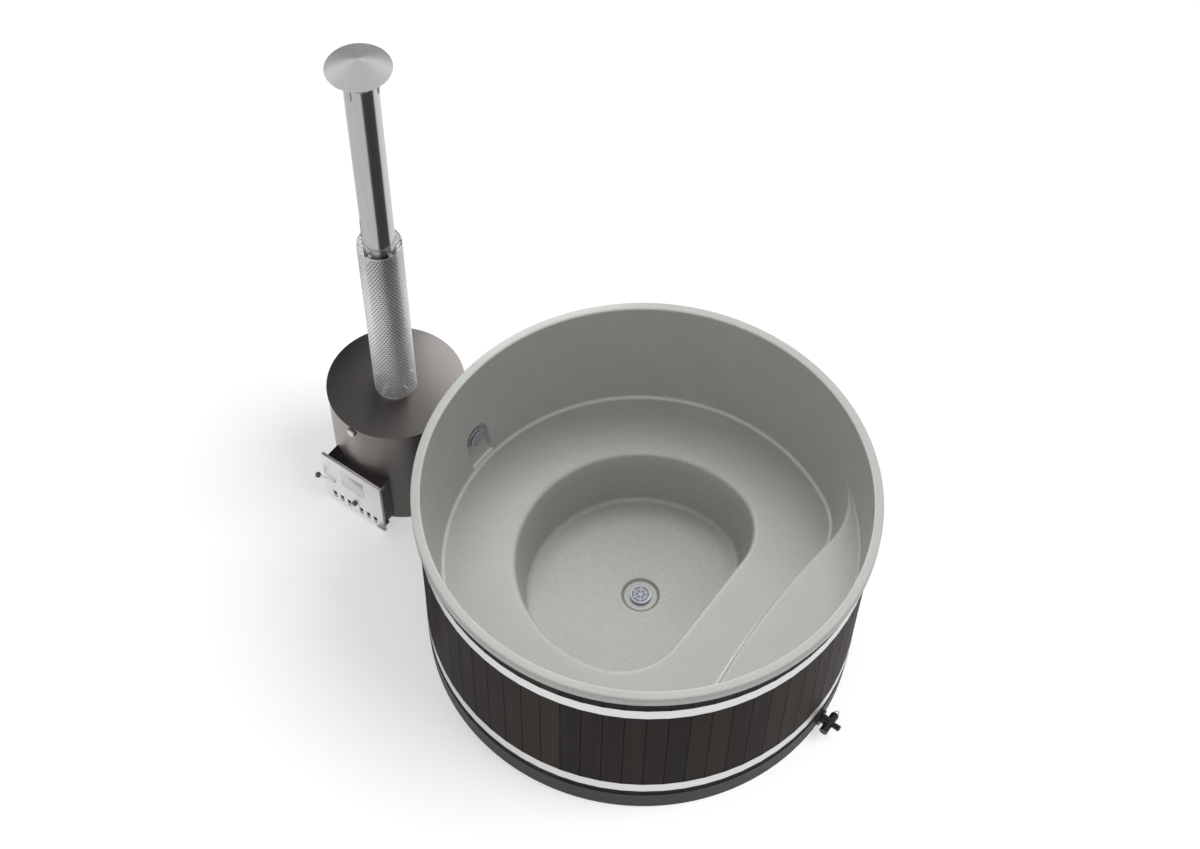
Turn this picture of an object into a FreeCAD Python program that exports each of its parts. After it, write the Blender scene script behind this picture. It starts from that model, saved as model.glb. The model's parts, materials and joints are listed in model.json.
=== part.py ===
import FreeCAD, Part
import math
import os
from FreeCAD import Placement, Rotation, Vector

# A wood-fired round hot tub: a moulded liner in a hooped shell of staves, with an outside stove and chimney.
# Sizes are in millimetres. Z is the tub's axis and z = 0 the ground. The stove stands on the -X side,
# its door faces -Y, and the drain valve is on the +X side.

# Rim and moulded liner
RIM_RADIUS = 850.0
RIM_WIDTH = 35.0
RIM_HEIGHT = 900.0
RIM_LIP_DROP = 44.0
RIM_ROUND = 6.0
LINER_WALL = 4.0
WALL_TAPER = 15.0
SEAT_HEIGHT = 396.0
STEP_HEIGHT = 604.0
STEP_EDGE = 549.0
STEP_CORNER = 300.0
STEP_BOW = 2830.0
STEP_DRAFT = 37.0
FLOOR_HEIGHT = 132.0
WELL_RADIUS = 487.0
WELL_EDGE = 305.0
WELL_CORNER = 250.0
WELL_BOW = 30000.0
WELL_DRAFT = 40.0
FLOOR_ROUND = 24.0
SEAT_ROUND = 18.0
EDGE_ROUND = 24.0
ROUND_STRIP_COUNT = 2
RECESS_RADIUS = 75.0
RECESS_DEPTH = 15.0
POCKET_WIDTH = 124.0
POCKET_HEIGHT = 158.0
POCKET_RISE = 42.0
POCKET_OUTLET = 90.0

# Stave shell, hoops and base
STAVE_COUNT = 68
STAVE_THICKNESS = 12.0
STAVE_GAP = 1.2
STAVE_PHASE = 0.21
STAVE_PLAY = 1.0
HOOP_WIDTH = 55.0
HOOP_SHEET = 2.0
LOWER_HOOP = 141.0
UPPER_HOOP_DROP = 172.0
HOOP_LUG_ANGLE = 125.0
HOOP_LUG_SPACE = 16.0
HOOP_LUG_SHEET = 3.0
HOOP_LUG_REACH = 13.0
HOOP_LUG_HEIGHT = 36.0
HOOP_BOLT_RADIUS = 3.0
HOOP_BOLT_HEAD = 10.0
BASE_HEIGHT = 106.0
BASE_DEPTH = 30.0
BASE_LIP = 28.0
BASE_PROUD = 3.0
BASE_INSET = 2.0
BASE_FOOT = 6.0
BEARER_SPACING = 380.0
BEARER_WIDTH = 70.0

# Water fittings
WATER_HEIGHT = 70.0
PIPE_RADIUS = 24.0
PIPE_WALL = 3.5
PIPE_STUB = 30.0
FIT_GAP = 0.2
SEAT_GAP = 0.3
RUN_GAP = 0.05
GASKET = 2.0
FLANGE_RADIUS = 44.0
FLANGE_THICKNESS = 4.0
NUT_ACROSS = 64.0
NUT_THICKNESS = 9.0
COVER_RADIUS = 46.0
COVER_RISE = 14.0
COVER_SHELL = 2.0
COVER_HUB = 9.0
COVER_RIB_RADIUS = 26.0
COVER_RIB = 4.0
COVER_SPOKE_COUNT = 6
COVER_SLOT_COUNT = 12
COVER_SLOT_WIDTH = 4.0
TEE_WALL = 5.0
TEE_REACH = 62.0
SOCKET_DEPTH = 30.0
HOSE_WALL = 5.0
CLAMP_WIDTH = 12.0
CLAMP_SHEET = 1.5
CLAMP_HOUSING = 9.0
HOSE_SHORT = 6.0

# Drain valve
VALVE_GASKET = 3.0
VALVE_FLANGE_RADIUS = 33.0
VALVE_FLANGE = 9.0
VALVE_HUB_RADIUS = 19.0
VALVE_REACH = 33.0
BARREL_RADIUS = 16.5
BARREL_LOW = 43.0
BARREL_HIGH = 36.0
CAP_THICKNESS = 5.0
PLUG_DEPTH = 2.0
GLAND_RADIUS = 15.5
GLAND_THICKNESS = 6.0
SPOOL_RADIUS = 12.0
SPOOL_LAND = 12.0
SPOOL_PISTON = 5.0
SPOOL_ROD = 5.0
SPOOL_END_PLAY = 1.0
FLOW_RADIUS = 11.0
TAIL_RADIUS = 12.5
TAIL_BORE = 8.5
TAIL_LENGTH = 45.0
TAIL_RIB = 1.5
TAIL_RIB_PITCH = 5.5
TAIL_RIB_COUNT = 4
RING_WIRE = 1.0
RING_RADIUS = 8.5
RING_LEG = 5.0
RING_STAND = 3.0
RING_SIDES = 8
RING_CHORD_COUNT = 8
SCREW_CIRCLE = 27.0
SCREW_RADIUS = 2.0
SCREW_HEAD = 4.0
SCREW_HEAD_RISE = 2.5
SCREW_GRIP = 14.0
SCREW_COUNT = 4
SCREW_SIDES = 8

# Stove
STOVE_SPACE = 95.0
STOVE_RADIUS = 269.0
STOVE_HEIGHT = 568.0
STOVE_PLATE = 4.0
STOVE_SHEET = 3.0
TOP_PROUD = 3.0
WATER_JACKET = 64.0
WATER_HEAD = 128.0
FIREBOX_WALL = 4.0
NECK_SIZE = 268.0
NECK_WALL = 4.0
NECK_PROUD = 31.0
GRATE_HEIGHT = 96.0
GRATE_THICKNESS = 12.0
GRATE_PLAY = 4.0
GRATE_SLOT_COUNT = 9
GRATE_SLOT = 20.0
GRATE_FOOT = 22.0
GRATE_FOOT_COUNT = 4
GRATE_FOOT_ANGLE = 45.0
PLUG_DROP = 31.0
PLUG_ACROSS = 32.0
PLUG_HEAD = 10.0
PLUG_SHANK = 10.0
PLUG_WASHER = 20.0
NIPPLE_INSIDE = 44.0

# Fire door with its air slide and latch
DOOR_SIZE = 300.0
DOOR_MIDDLE = 158.0
DOOR_DEPTH = 12.0
DOOR_SHEET = 2.0
DOOR_GAP = 2.0
SHIELD_STANDOFF = 6.0
SHIELD_SHEET = 2.0
SHIELD_BOSS = 6.0
SHIELD_BOSS_X = 70.0
SHIELD_BOSS_LOW = 120.0
SHIELD_BOSS_HIGH = 258.0
SEAL_WIDTH = 8.0
SEAL_LEAD = 1.0
AIR_HOLE_WIDTH = 20.0
AIR_HOLE_HEIGHT = 40.0
AIR_HOLE_PITCH = 37.0
AIR_HOLE_INNER = 32.0
AIR_HOLE_ROW = 56.0
AIR_HOLE_COUNT = 3
AIR_LAND = 2.0
SLIDE_TRAVEL = 18.5
SLIDE_SHEET = 1.7
SLIDE_BELOW = 22.0
SLIDE_ABOVE = 41.0
SLIDE_MARGIN = 2.0
SLIDE_GUIDE = 4.5
SLIDE_LIP = 3.5
SLIDE_LIP_SHEET = 1.0
KNOB_HEIGHT = 86.0
KNOB_X = 2.0
KNOB_RADIUS = 12.0
KNOB_LENGTH = 12.0
KNOB_STEM = 4.0
LATCH_X = -105.0
LATCH_HEIGHT = 155.0
LATCH_SHAFT = 6.0
LATCH_HUB = 11.0
LATCH_HUB_LENGTH = 8.0
LATCH_ARM = 4.0
LATCH_REACH = 67.0
LATCH_STAND = 16.0
BALL_RADIUS = 12.5
BALL_STRIP_COUNT = 8
BALL_SIDES = 20
TONGUE_WIDTH = 14.0
TONGUE_LENGTH = 23.0
TONGUE_THICKNESS = 5.0
TONGUE_BACK = 14.0
KEEPER_WIDTH = 10.0
KEEPER_HEIGHT = 30.0
KEEPER_SHEET = 4.0
HINGE_INSET = 9.0
HINGE_BACK = 6.0
HINGE_PIN = 3.0
HINGE_EYE = 5.5
HINGE_SPREAD = 126.0
HINGE_LUG = 8.0
HINGE_KNUCKLE = 20.0
KNUCKLE_WALL = 1.0
HINGE_TAIL = 25.0
HINGE_RELIEF = 2.0

# Chimney
FLUE_RADIUS = 60.0
FLUE_SHEET = 1.0
COLLAR_RISE = 60.0
COLLAR_WALL = 3.0
LOWER_FLUE = 907.0
UPPER_FLUE = 794.0
FLUE_OVERLAP = 50.0
GUARD_RADIUS = 83.0
GUARD_SHEET = 1.2
GUARD_SHORT = 14.0
CLIP_COUNT = 5
CLIP_ANGLE = 276.0
CLIP_SHEET = 1.2
CLIP_WIDTH = 14.0
CLIP_FOOT = 27.0
CLIP_TAIL = 20.0
CLIP_BELOW_JOINT = 2.0
CLIP_SCREW_DROP = 10.8
CLIP_BASE = 40.0
CAP_RADIUS = 112.0
CAP_RISE = 40.0
CAP_SPACE = 57.0
CAP_SHEET = 1.5
LEG_COUNT = 3
LEG_ANGLE = 30.0
LEG_WIDTH = 20.0
LEG_SHEET = 2.0
LEG_GRIP = 45.0
LEG_SPREAD = 22.0
LEG_TAB = 14.0

# Length by which a cutting shape runs past what it cuts
PAST = 20.0

# Degrees in a full turn, and the sides of a hexagon head or nut
FULL_TURN = 360.0
HEX_SIDES = 6

# Sizes that follow from the ones above
RIM_INNER = RIM_RADIUS - RIM_WIDTH
STEP_RADIUS = RIM_INNER - WALL_TAPER
STAVE_IN = RIM_INNER + LINER_WALL + STAVE_PLAY
STAVE_OUT = STAVE_IN + STAVE_THICKNESS
STAVE_TURN = FULL_TURN/STAVE_COUNT
BASE_OUT = STAVE_OUT + BASE_PROUD
BASE_IN = BASE_OUT - BASE_DEPTH
STOVE_X = -(STAVE_OUT + STOVE_SPACE + STOVE_RADIUS)
PIPE_BORE = PIPE_RADIUS - PIPE_WALL
POCKET_FACE = STAVE_IN - NUT_THICKNESS - STAVE_PLAY - LINER_WALL - SEAT_GAP
POCKET_LOW = SEAT_HEIGHT + POCKET_RISE
OUTLET_HEIGHT = POCKET_LOW + POCKET_OUTLET
RECESS_FLOOR = FLOOR_HEIGHT - RECESS_DEPTH
UPPER_HOOP = RIM_HEIGHT - UPPER_HOOP_DROP
STUB_END = STAVE_OUT + PIPE_STUB
NIPPLE_END = STAVE_OUT + STOVE_SPACE - PIPE_STUB
VALVE_X = BASE_OUT + VALVE_GASKET
BARREL_X = VALVE_X + VALVE_FLANGE + VALVE_REACH
RING_Y = BARREL_HIGH + GLAND_THICKNESS + RING_STAND
FIREBOX_RADIUS = STOVE_RADIUS - WATER_JACKET
FIREBOX_HEIGHT = STOVE_HEIGHT - WATER_HEAD
PLUG_HEIGHT = STOVE_HEIGHT - PLUG_DROP
NECK_REACH = STOVE_RADIUS + NECK_PROUD
NECK_HALF = NECK_SIZE/2
DOOR_HALF = DOOR_SIZE/2
DOOR_BACK = -NECK_REACH - DOOR_GAP
DOOR_FRONT = DOOR_BACK - DOOR_DEPTH
DOOR_INSIDE = DOOR_FRONT + DOOR_SHEET
SHIELD_BACK = DOOR_INSIDE + SHIELD_STANDOFF + SHIELD_SHEET
SEAL_OUT = NECK_HALF + SEAL_LEAD
SEAL_IN = SEAL_OUT - SEAL_WIDTH
SLIDE_BACK = DOOR_INSIDE + SEAT_GAP + SLIDE_SHEET
HINGE_X = DOOR_HALF - HINGE_INSET
HINGE_Y = DOOR_BACK - HINGE_BACK + DOOR_SHEET
LOWER_FLUE_RADIUS = FLUE_RADIUS - FLUE_SHEET - SEAT_GAP
COLLAR_RADIUS = LOWER_FLUE_RADIUS - FLUE_SHEET - SEAT_GAP
FLUE_JOINT = STOVE_HEIGHT + LOWER_FLUE - FLUE_OVERLAP
GUARD_TOP = FLUE_JOINT - GUARD_SHORT
FLUE_TOP = FLUE_JOINT + UPPER_FLUE
UP = Vector(0, 0, 1)


# Basic shapes
def box(x0, x1, y0, y1, z0, z1):
    return Part.makeBox(x1 - x0, y1 - y0, z1 - z0, Vector(x0, y0, z0))


def bar(radius, start, end):
    run = end - start
    return Part.makeCylinder(radius, run.Length, start, run)


def tube(outer, inner, start, end):
    spare = (end - start).normalize()*PAST
    return bar(outer, start, end).cut(bar(inner, start - spare, end + spare))


def prism(points, height):
    return Part.Face(Part.makePolygon(points + points[:1])).extrude(height)


def even_outline(sides, across, height):
    corner = across/2/math.cos(math.pi/sides)
    turns = [2*math.pi*(k + 0.5)/sides for k in range(sides)]
    return [Vector(corner*math.cos(t), corner*math.sin(t), height) for t in turns]


def even_prism(sides, across, low, high):
    return prism(even_outline(sides, across, low), UP*(high - low))


def facetted(rings):
    # a solid of flat facets between even outlines that follow each other upwards
    outlines = [rings[0][::-1], rings[-1]]
    for low, high in zip(rings, rings[1:]):
        for k in range(len(low)):
            outlines.append([low[k - 1], low[k], high[k], high[k - 1]])
    faces = [Part.Face(Part.makePolygon(points + points[:1])) for points in outlines]
    return Part.makeSolid(Part.makeShell(faces))


def turned(profile):
    # profile is a closed run of (radius, height) pairs turned about Z
    points = [Vector(radius, 0, height) for radius, height in profile]
    return Part.Face(Part.makePolygon(points + points[:1])).revolve(Vector(), UP, FULL_TURN)


def placed(shape, base, axis):
    moved = shape.copy()
    moved.Placement = Placement(base, Rotation(UP, axis)).multiply(moved.Placement)
    return moved


def spun(shape, angle, centre=Vector()):
    moved = shape.copy()
    moved.rotate(centre, UP, angle)
    return moved


def round_about(shape, count, start=0.0):
    return [spun(shape, start + FULL_TURN*k/count) for k in range(count)]


def at_stove(shape):
    return shape.translated(Vector(STOVE_X, 0, 0))


def save(name, *solids):
    shape = solids[0] if len(solids) == 1 else Part.makeCompound(list(solids))
    shape.exportStep("parts/" + name + ".step")


# Moulded liner
def flipped(point):
    return Vector(point.x, -point.y, point.z)


def bay_outline(height, size, spread):
    # a round outline cut by a gently bowed edge, its corners rounded, grown by spread on all sides
    radius, edge, corner, bow = size
    reach = radius - corner
    bow_x = edge + bow
    corner_x = (reach**2 - (bow + corner)**2 + bow_x**2)/(2*bow_x)
    corner_y = math.sqrt(reach**2 - corner_x**2)
    centre = Vector(corner_x, corner_y, height)
    to_wall = Vector(corner_x, corner_y, 0).normalize()
    to_edge = Vector(bow_x - corner_x, -corner_y, 0).normalize()
    on_wall = Vector(0, 0, height) + to_wall*(radius + spread)
    on_edge = centre + to_edge*(corner + spread)
    on_corner = centre + (to_wall + to_edge).normalize()*(corner + spread)
    half = (math.pi + math.atan2(corner_y, corner_x))/2
    side = Vector(math.cos(half), math.sin(half), 0)*(radius + spread) + UP*height
    back = Vector(-radius - spread, 0, height)
    front = Vector(edge + spread, 0, height)
    arcs = [
        Part.Arc(back, flipped(side), flipped(on_wall)),
        Part.Arc(flipped(on_wall), flipped(on_corner), flipped(on_edge)),
        Part.Arc(flipped(on_edge), front, on_edge),
        Part.Arc(on_edge, on_corner, on_wall),
        Part.Arc(on_wall, side, back),
    ]
    return Part.Wire([arc.toShape() for arc in arcs])


def eased(start, corner, end, radius, chords):
    # the short chords that round a corner of a path of (spread, height) points
    back = (start - corner).normalize()
    onward = (end - corner).normalize()
    half = back.getAngle(onward)/2
    sweep = math.pi - 2*half
    centre = corner + (back + onward).normalize()*(radius/math.sin(half))
    first = corner + back*(radius/math.tan(half)) - centre
    last = corner + onward*(radius/math.tan(half)) - centre
    shares = [k/chords*sweep for k in range(chords + 1)]
    return [centre + (first*math.sin(sweep - s) + last*math.sin(s))*(1/math.sin(sweep)) for s in shares]


def bay(size, path):
    return Part.makeLoft([bay_outline(point.y, size, point.x) for point in path], True, True)


def bathing_space(grow):
    # the space of the liner's inner skin, or with a grow the space of its outer skin, up to the rim
    well = (WELL_RADIUS, WELL_EDGE, WELL_CORNER, WELL_BOW)
    bench = (STEP_RADIUS, STEP_EDGE, STEP_CORNER, STEP_BOW)
    floor, seat, step = [level - grow for level in (FLOOR_HEIGHT, SEAT_HEIGHT, STEP_HEIGHT)]
    level = Vector(1, 0, 0)
    well_foot = Vector(grow - WELL_DRAFT, floor, 0)
    well_edge = Vector(grow, seat, 0)
    bench_foot = Vector(grow - STEP_DRAFT, seat, 0)
    bench_edge = Vector(grow, step, 0)
    if grow:
        low = [well_foot]
        high = eased(well_foot, well_edge, well_edge + level, EDGE_ROUND - grow, 1)
        wall = [bench_foot, bench_edge]
    else:
        low = eased(well_foot - level, well_foot, well_edge, FLOOR_ROUND, ROUND_STRIP_COUNT)
        high = eased(well_foot, well_edge, well_edge + level, EDGE_ROUND, ROUND_STRIP_COUNT)
        wall = eased(bench_foot - level, bench_foot, bench_edge, SEAT_ROUND, 1) + [bench_edge]
    upper = Part.makeCone(STEP_RADIUS + grow, RIM_INNER + grow, RIM_HEIGHT - step, Vector(0, 0, step))
    return bay(well, low + high).fuse([bay(bench, wall), upper]).removeSplitter()


def tub_liner():
    lip = RIM_HEIGHT - RIM_LIP_DROP
    under = RIM_HEIGHT - LINER_WALL
    top = RIM_HEIGHT - RIM_ROUND
    rim = turned([
        (RIM_INNER - WALL_TAPER, under), (RIM_RADIUS - LINER_WALL, under), (RIM_RADIUS - LINER_WALL, lip),
        (RIM_RADIUS, lip), (RIM_RADIUS, top), (RIM_RADIUS - RIM_ROUND, RIM_HEIGHT),
        (RIM_INNER - WALL_TAPER, RIM_HEIGHT)])
    rim_ease = turned([
        (RIM_INNER - WALL_TAPER, top), (RIM_INNER, top), (RIM_INNER + RIM_ROUND, RIM_HEIGHT),
        (RIM_INNER + RIM_ROUND, RIM_HEIGHT + PAST), (RIM_INNER - WALL_TAPER, RIM_HEIGHT + PAST)])
    half = POCKET_WIDTH/2
    high = POCKET_LOW + POCKET_HEIGHT
    wall = LINER_WALL
    pocket = box(-POCKET_FACE, -WELL_RADIUS, -half, half, POCKET_LOW, high)
    pocket_skin = box(-POCKET_FACE - wall, -STEP_RADIUS + STEP_DRAFT + wall, -half - wall, half + wall,
                      POCKET_LOW - wall, high + wall)
    recess = bar(RECESS_RADIUS, Vector(0, 0, RECESS_FLOOR), Vector(0, 0, FLOOR_HEIGHT + PAST))
    recess_skin = bar(RECESS_RADIUS + wall, Vector(0, 0, RECESS_FLOOR - wall), Vector(0, 0, FLOOR_HEIGHT))
    hole = PIPE_RADIUS + FIT_GAP
    drain_hole = bar(hole, Vector(), Vector(0, 0, FLOOR_HEIGHT))
    outlet_hole = bar(hole, Vector(-RIM_RADIUS, 0, OUTLET_HEIGHT), Vector(-WELL_RADIUS, 0, OUTLET_HEIGHT))
    skin = bathing_space(LINER_WALL).fuse([rim, pocket_skin, recess_skin])
    hollow = bathing_space(0.0).fuse([rim_ease, pocket, recess, drain_hole, outlet_hole])
    return skin.cut(hollow).removeSplitter()


# Stave shell, hoops and base
def staves():
    low = BASE_HEIGHT
    high = RIM_HEIGHT - LINER_WALL
    half_turn = math.pi/STAVE_COUNT
    inner = STAVE_IN*math.tan(half_turn) - STAVE_GAP/2
    outer = STAVE_OUT*math.tan(half_turn) - STAVE_GAP/2
    outline = [Vector(STAVE_IN, -inner, low), Vector(STAVE_OUT, -outer, low),
               Vector(STAVE_OUT, outer, low), Vector(STAVE_IN, inner, low)]
    stave = prism(outline, UP*(high - low))
    ring = round_about(stave, STAVE_COUNT, STAVE_PHASE*STAVE_TURN)
    outside = Vector(-RIM_RADIUS, 0, OUTLET_HEIGHT)
    hole = bar(PIPE_RADIUS + FIT_GAP, outside, Vector(-WELL_RADIUS, 0, OUTLET_HEIGHT))
    return [one.cut(hole).Solids[0] for one in ring]


def hoop_closure():
    # the angle of the joint between two staves' middles where a hoop is drawn tight
    return (round(HOOP_LUG_ANGLE/STAVE_TURN) + STAVE_PHASE)*STAVE_TURN


def hoop_lugs(low):
    middle = low + HOOP_WIDTH/2
    half = HOOP_LUG_HEIGHT/2
    near = HOOP_LUG_SPACE/2
    far = near + HOOP_LUG_SHEET
    root = STAVE_OUT + SEAT_GAP
    reach = STAVE_OUT + HOOP_SHEET + HOOP_LUG_REACH
    return [box(root, reach, near, far, middle - half, middle + half),
            box(root, reach, -far, -near, middle - half, middle + half)]


def hoop_bolt_line(low, along):
    # the closing bolt's axis, a distance along from the middle of the closure
    radius = STAVE_OUT + HOOP_SHEET + HOOP_LUG_REACH/2
    return Vector(radius, along, low + HOOP_WIDTH/2)


def hoop(low):
    outer = 2*(STAVE_OUT + SEAT_GAP + HOOP_SHEET)
    band = even_prism(STAVE_COUNT, outer, low, low + HOOP_WIDTH)
    band = band.cut(even_prism(STAVE_COUNT, 2*(STAVE_OUT + SEAT_GAP), low - PAST, low + HOOP_WIDTH + PAST))
    band = spun(band, STAVE_PHASE*STAVE_TURN)
    closure = hoop_closure()
    half = HOOP_LUG_SPACE/2
    split = box(STAVE_IN, RIM_RADIUS, -half, half, low - PAST, low + HOOP_WIDTH + PAST)
    bolt = half + HOOP_LUG_SHEET + PAST
    hole = bar(HOOP_BOLT_RADIUS + FIT_GAP, hoop_bolt_line(low, -bolt), hoop_bolt_line(low, bolt))
    lugs = [spun(lug.cut(hole), closure) for lug in hoop_lugs(low)]
    return band.cut(spun(split, closure)).fuse(lugs).removeSplitter()


def hoop_bolt(low):
    closure = hoop_closure()
    face = HOOP_LUG_SPACE/2 + HOOP_LUG_SHEET
    head = even_prism(HEX_SIDES, HOOP_BOLT_HEAD, 0, HOOP_BOLT_RADIUS*2)
    shank = bar(HOOP_BOLT_RADIUS, hoop_bolt_line(low, -face), hoop_bolt_line(low, face))
    ends = [placed(head, hoop_bolt_line(low, face), Vector(0, 1, 0)),
            placed(head, hoop_bolt_line(low, -face), Vector(0, -1, 0))]
    return spun(shank.fuse(ends), closure)


def base_ring():
    face = BASE_OUT - BASE_INSET
    lip = BASE_HEIGHT - BASE_LIP
    ring = turned([(BASE_IN, 0), (face - BASE_FOOT, 0), (face, BASE_FOOT), (face, lip),
                   (BASE_OUT, lip), (BASE_OUT, BASE_HEIGHT), (BASE_IN, BASE_HEIGHT)])
    side = Vector(RIM_RADIUS, 0, 0)
    way = bar(PIPE_RADIUS + FIT_GAP, UP*WATER_HEIGHT - side, UP*WATER_HEIGHT + side)
    return ring.cut(way)


def bearers():
    under = FLOOR_HEIGHT - LINER_WALL
    inside = bar(BASE_IN - SEAT_GAP, Vector(), Vector(0, 0, under))
    bars = []
    for side in (-1, 1):
        middle = side*BEARER_SPACING/2
        beam = box(-RIM_RADIUS, RIM_RADIUS, middle - BEARER_WIDTH/2, middle + BEARER_WIDTH/2, 0, under)
        bars.append(beam.common(inside))
    return bars


# Water fittings. A suction fitting is drawn on Z, its liner skin at z = 0 and the water above it.
def fitting_gasket():
    return tube(FLANGE_RADIUS - GASKET, PIPE_RADIUS + FIT_GAP, Vector(), UP*GASKET)


def fitting_body(length):
    top = GASKET + FLANGE_THICKNESS
    return turned([(PIPE_BORE, -length), (PIPE_RADIUS, -length), (PIPE_RADIUS, GASKET),
                   (FLANGE_RADIUS, GASKET), (FLANGE_RADIUS, top), (PIPE_BORE, top)])


def fitting_nut():
    nut = even_prism(HEX_SIDES, NUT_ACROSS, -LINER_WALL - NUT_THICKNESS, -LINER_WALL)
    return nut.cut(bar(PIPE_RADIUS + FIT_GAP, UP*-FLANGE_RADIUS, UP*FLANGE_RADIUS))


def fitting_cover():
    low = GASKET + FLANGE_THICKNESS
    high = low + COVER_RISE
    inside = COVER_RADIUS - COVER_SHELL
    cup = turned([(0, high - COVER_SHELL), (inside, high - COVER_SHELL), (inside, low), (COVER_RADIUS, low),
                  (COVER_RADIUS, high - COVER_SHELL), (inside, high), (0, high)])
    spokes = round_about(box(0, COVER_RADIUS, -COVER_RIB/2, COVER_RIB/2, low, high + PAST), COVER_SPOKE_COUNT)
    edge = inside - COVER_RIB
    rib_in = COVER_RIB_RADIUS - COVER_RIB/2
    rib_out = COVER_RIB_RADIUS + COVER_RIB/2
    rings = [tube(rib_in, COVER_HUB, UP*low, UP*(high + PAST)), tube(edge, rib_out, UP*low, UP*(high + PAST))]
    openings = [ring.cut(spokes) for ring in rings]
    slot = box(inside - PAST/2, COVER_RADIUS + PAST, -COVER_SLOT_WIDTH/2, COVER_SLOT_WIDTH/2,
               low + COVER_SHELL, high - 2*COVER_SHELL)
    return cup.cut(openings + round_about(slot, COVER_SLOT_COUNT, 180.0/COVER_SLOT_COUNT))


FLOOR_SEAT = Vector(0, 0, RECESS_FLOOR)
WALL_SEAT = Vector(-POCKET_FACE, 0, OUTLET_HEIGHT)
INWARD = Vector(1, 0, 0)


def both_fittings(piece):
    return [placed(piece, FLOOR_SEAT, UP), placed(piece, WALL_SEAT, INWARD)]


def fitting_bodies():
    nut_low = RECESS_FLOOR - LINER_WALL - NUT_THICKNESS
    drain = fitting_body(RECESS_FLOOR - nut_low + SOCKET_DEPTH/2)
    outlet = fitting_body(STUB_END - POCKET_FACE)
    return [placed(drain, FLOOR_SEAT, UP), placed(outlet, WALL_SEAT, INWARD)]


def drain_tee():
    radius = PIPE_RADIUS + FIT_GAP
    top = RECESS_FLOOR - LINER_WALL - NUT_THICKNESS - SEAT_GAP
    run = (Vector(-TEE_REACH, 0, WATER_HEIGHT), Vector(TEE_REACH, 0, WATER_HEIGHT))
    branch = (Vector(0, 0, WATER_HEIGHT), Vector(0, 0, top))
    body = bar(radius + TEE_WALL, *run).fuse(bar(radius + TEE_WALL, *branch)).removeSplitter()
    return body.cut([bar(radius, *run), bar(radius, branch[0], branch[1] + UP*PAST)])


def water_pipe(start, end):
    return tube(PIPE_RADIUS, PIPE_BORE, Vector(start, 0, WATER_HEIGHT), Vector(end, 0, WATER_HEIGHT))


def at_both_lines(make):
    return [make(WATER_HEIGHT), make(OUTLET_HEIGHT)]


def nipple(height):
    inside = Vector(STOVE_X + STOVE_RADIUS - NIPPLE_INSIDE, 0, height)
    return tube(PIPE_RADIUS, PIPE_BORE, inside, Vector(-NIPPLE_END, 0, height))


def hose_ends():
    middle = (STUB_END + NIPPLE_END)/2
    reach = (NIPPLE_END - STUB_END)/2 + PIPE_STUB - HOSE_SHORT
    return middle - reach, middle + reach


def hose(height):
    near, far = hose_ends()
    bore = PIPE_RADIUS + FIT_GAP
    return tube(bore + HOSE_WALL, bore, Vector(-far, 0, height), Vector(-near, 0, height))


def clamps(height):
    near, far = hose_ends()
    inner = PIPE_RADIUS + FIT_GAP + HOSE_WALL + FIT_GAP
    outer = inner + CLAMP_SHEET
    bands = []
    for middle in (-near - CLAMP_WIDTH, -far + CLAMP_WIDTH):
        low = middle - CLAMP_WIDTH/2
        high = middle + CLAMP_WIDTH/2
        band = tube(outer, inner, Vector(low, 0, height), Vector(high, 0, height))
        top = height + outer + CLAMP_HOUSING
        housing = box(low, high, -CLAMP_HOUSING, CLAMP_HOUSING, height + inner, top)
        bands.append(band.fuse(housing).removeSplitter())
    return bands


# Drain valve, drawn in place on the +X side
def screw_places(x):
    turns = [math.pi*(2*k + 1)/SCREW_COUNT for k in range(SCREW_COUNT)]
    return [Vector(x, SCREW_CIRCLE*math.cos(t), WATER_HEIGHT + SCREW_CIRCLE*math.sin(t)) for t in turns]


def screw_holes():
    reach = VALVE_GASKET + VALVE_FLANGE + PAST
    hole = even_prism(SCREW_SIDES, 2*(SCREW_RADIUS + FIT_GAP), -reach, reach)
    return [placed(hole, point, Vector(1, 0, 0)) for point in screw_places(VALVE_X)]


def on_valve_axis(x):
    return Vector(x, 0, WATER_HEIGHT)


def across(y):
    return Vector(BARREL_X, y, WATER_HEIGHT)


def valve_gasket():
    ring = tube(VALVE_FLANGE_RADIUS + FIT_GAP, PIPE_BORE, on_valve_axis(BASE_OUT), on_valve_axis(VALVE_X))
    return ring.cut(screw_holes())


def hose_tail():
    root = TAIL_RADIUS - TAIL_RIB
    first = TAIL_LENGTH - TAIL_RIB_COUNT*TAIL_RIB_PITCH
    profile = [(0, 0), (root, 0)]
    for k in range(TAIL_RIB_COUNT):
        low = first + k*TAIL_RIB_PITCH
        high = low + TAIL_RIB_PITCH/2
        profile += [(root, low), (TAIL_RADIUS, low), (TAIL_RADIUS, high), (root, high)]
    profile += [(root, TAIL_LENGTH), (0, TAIL_LENGTH)]
    return placed(turned(profile), across(0), Vector(1, 0, 0))


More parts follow.
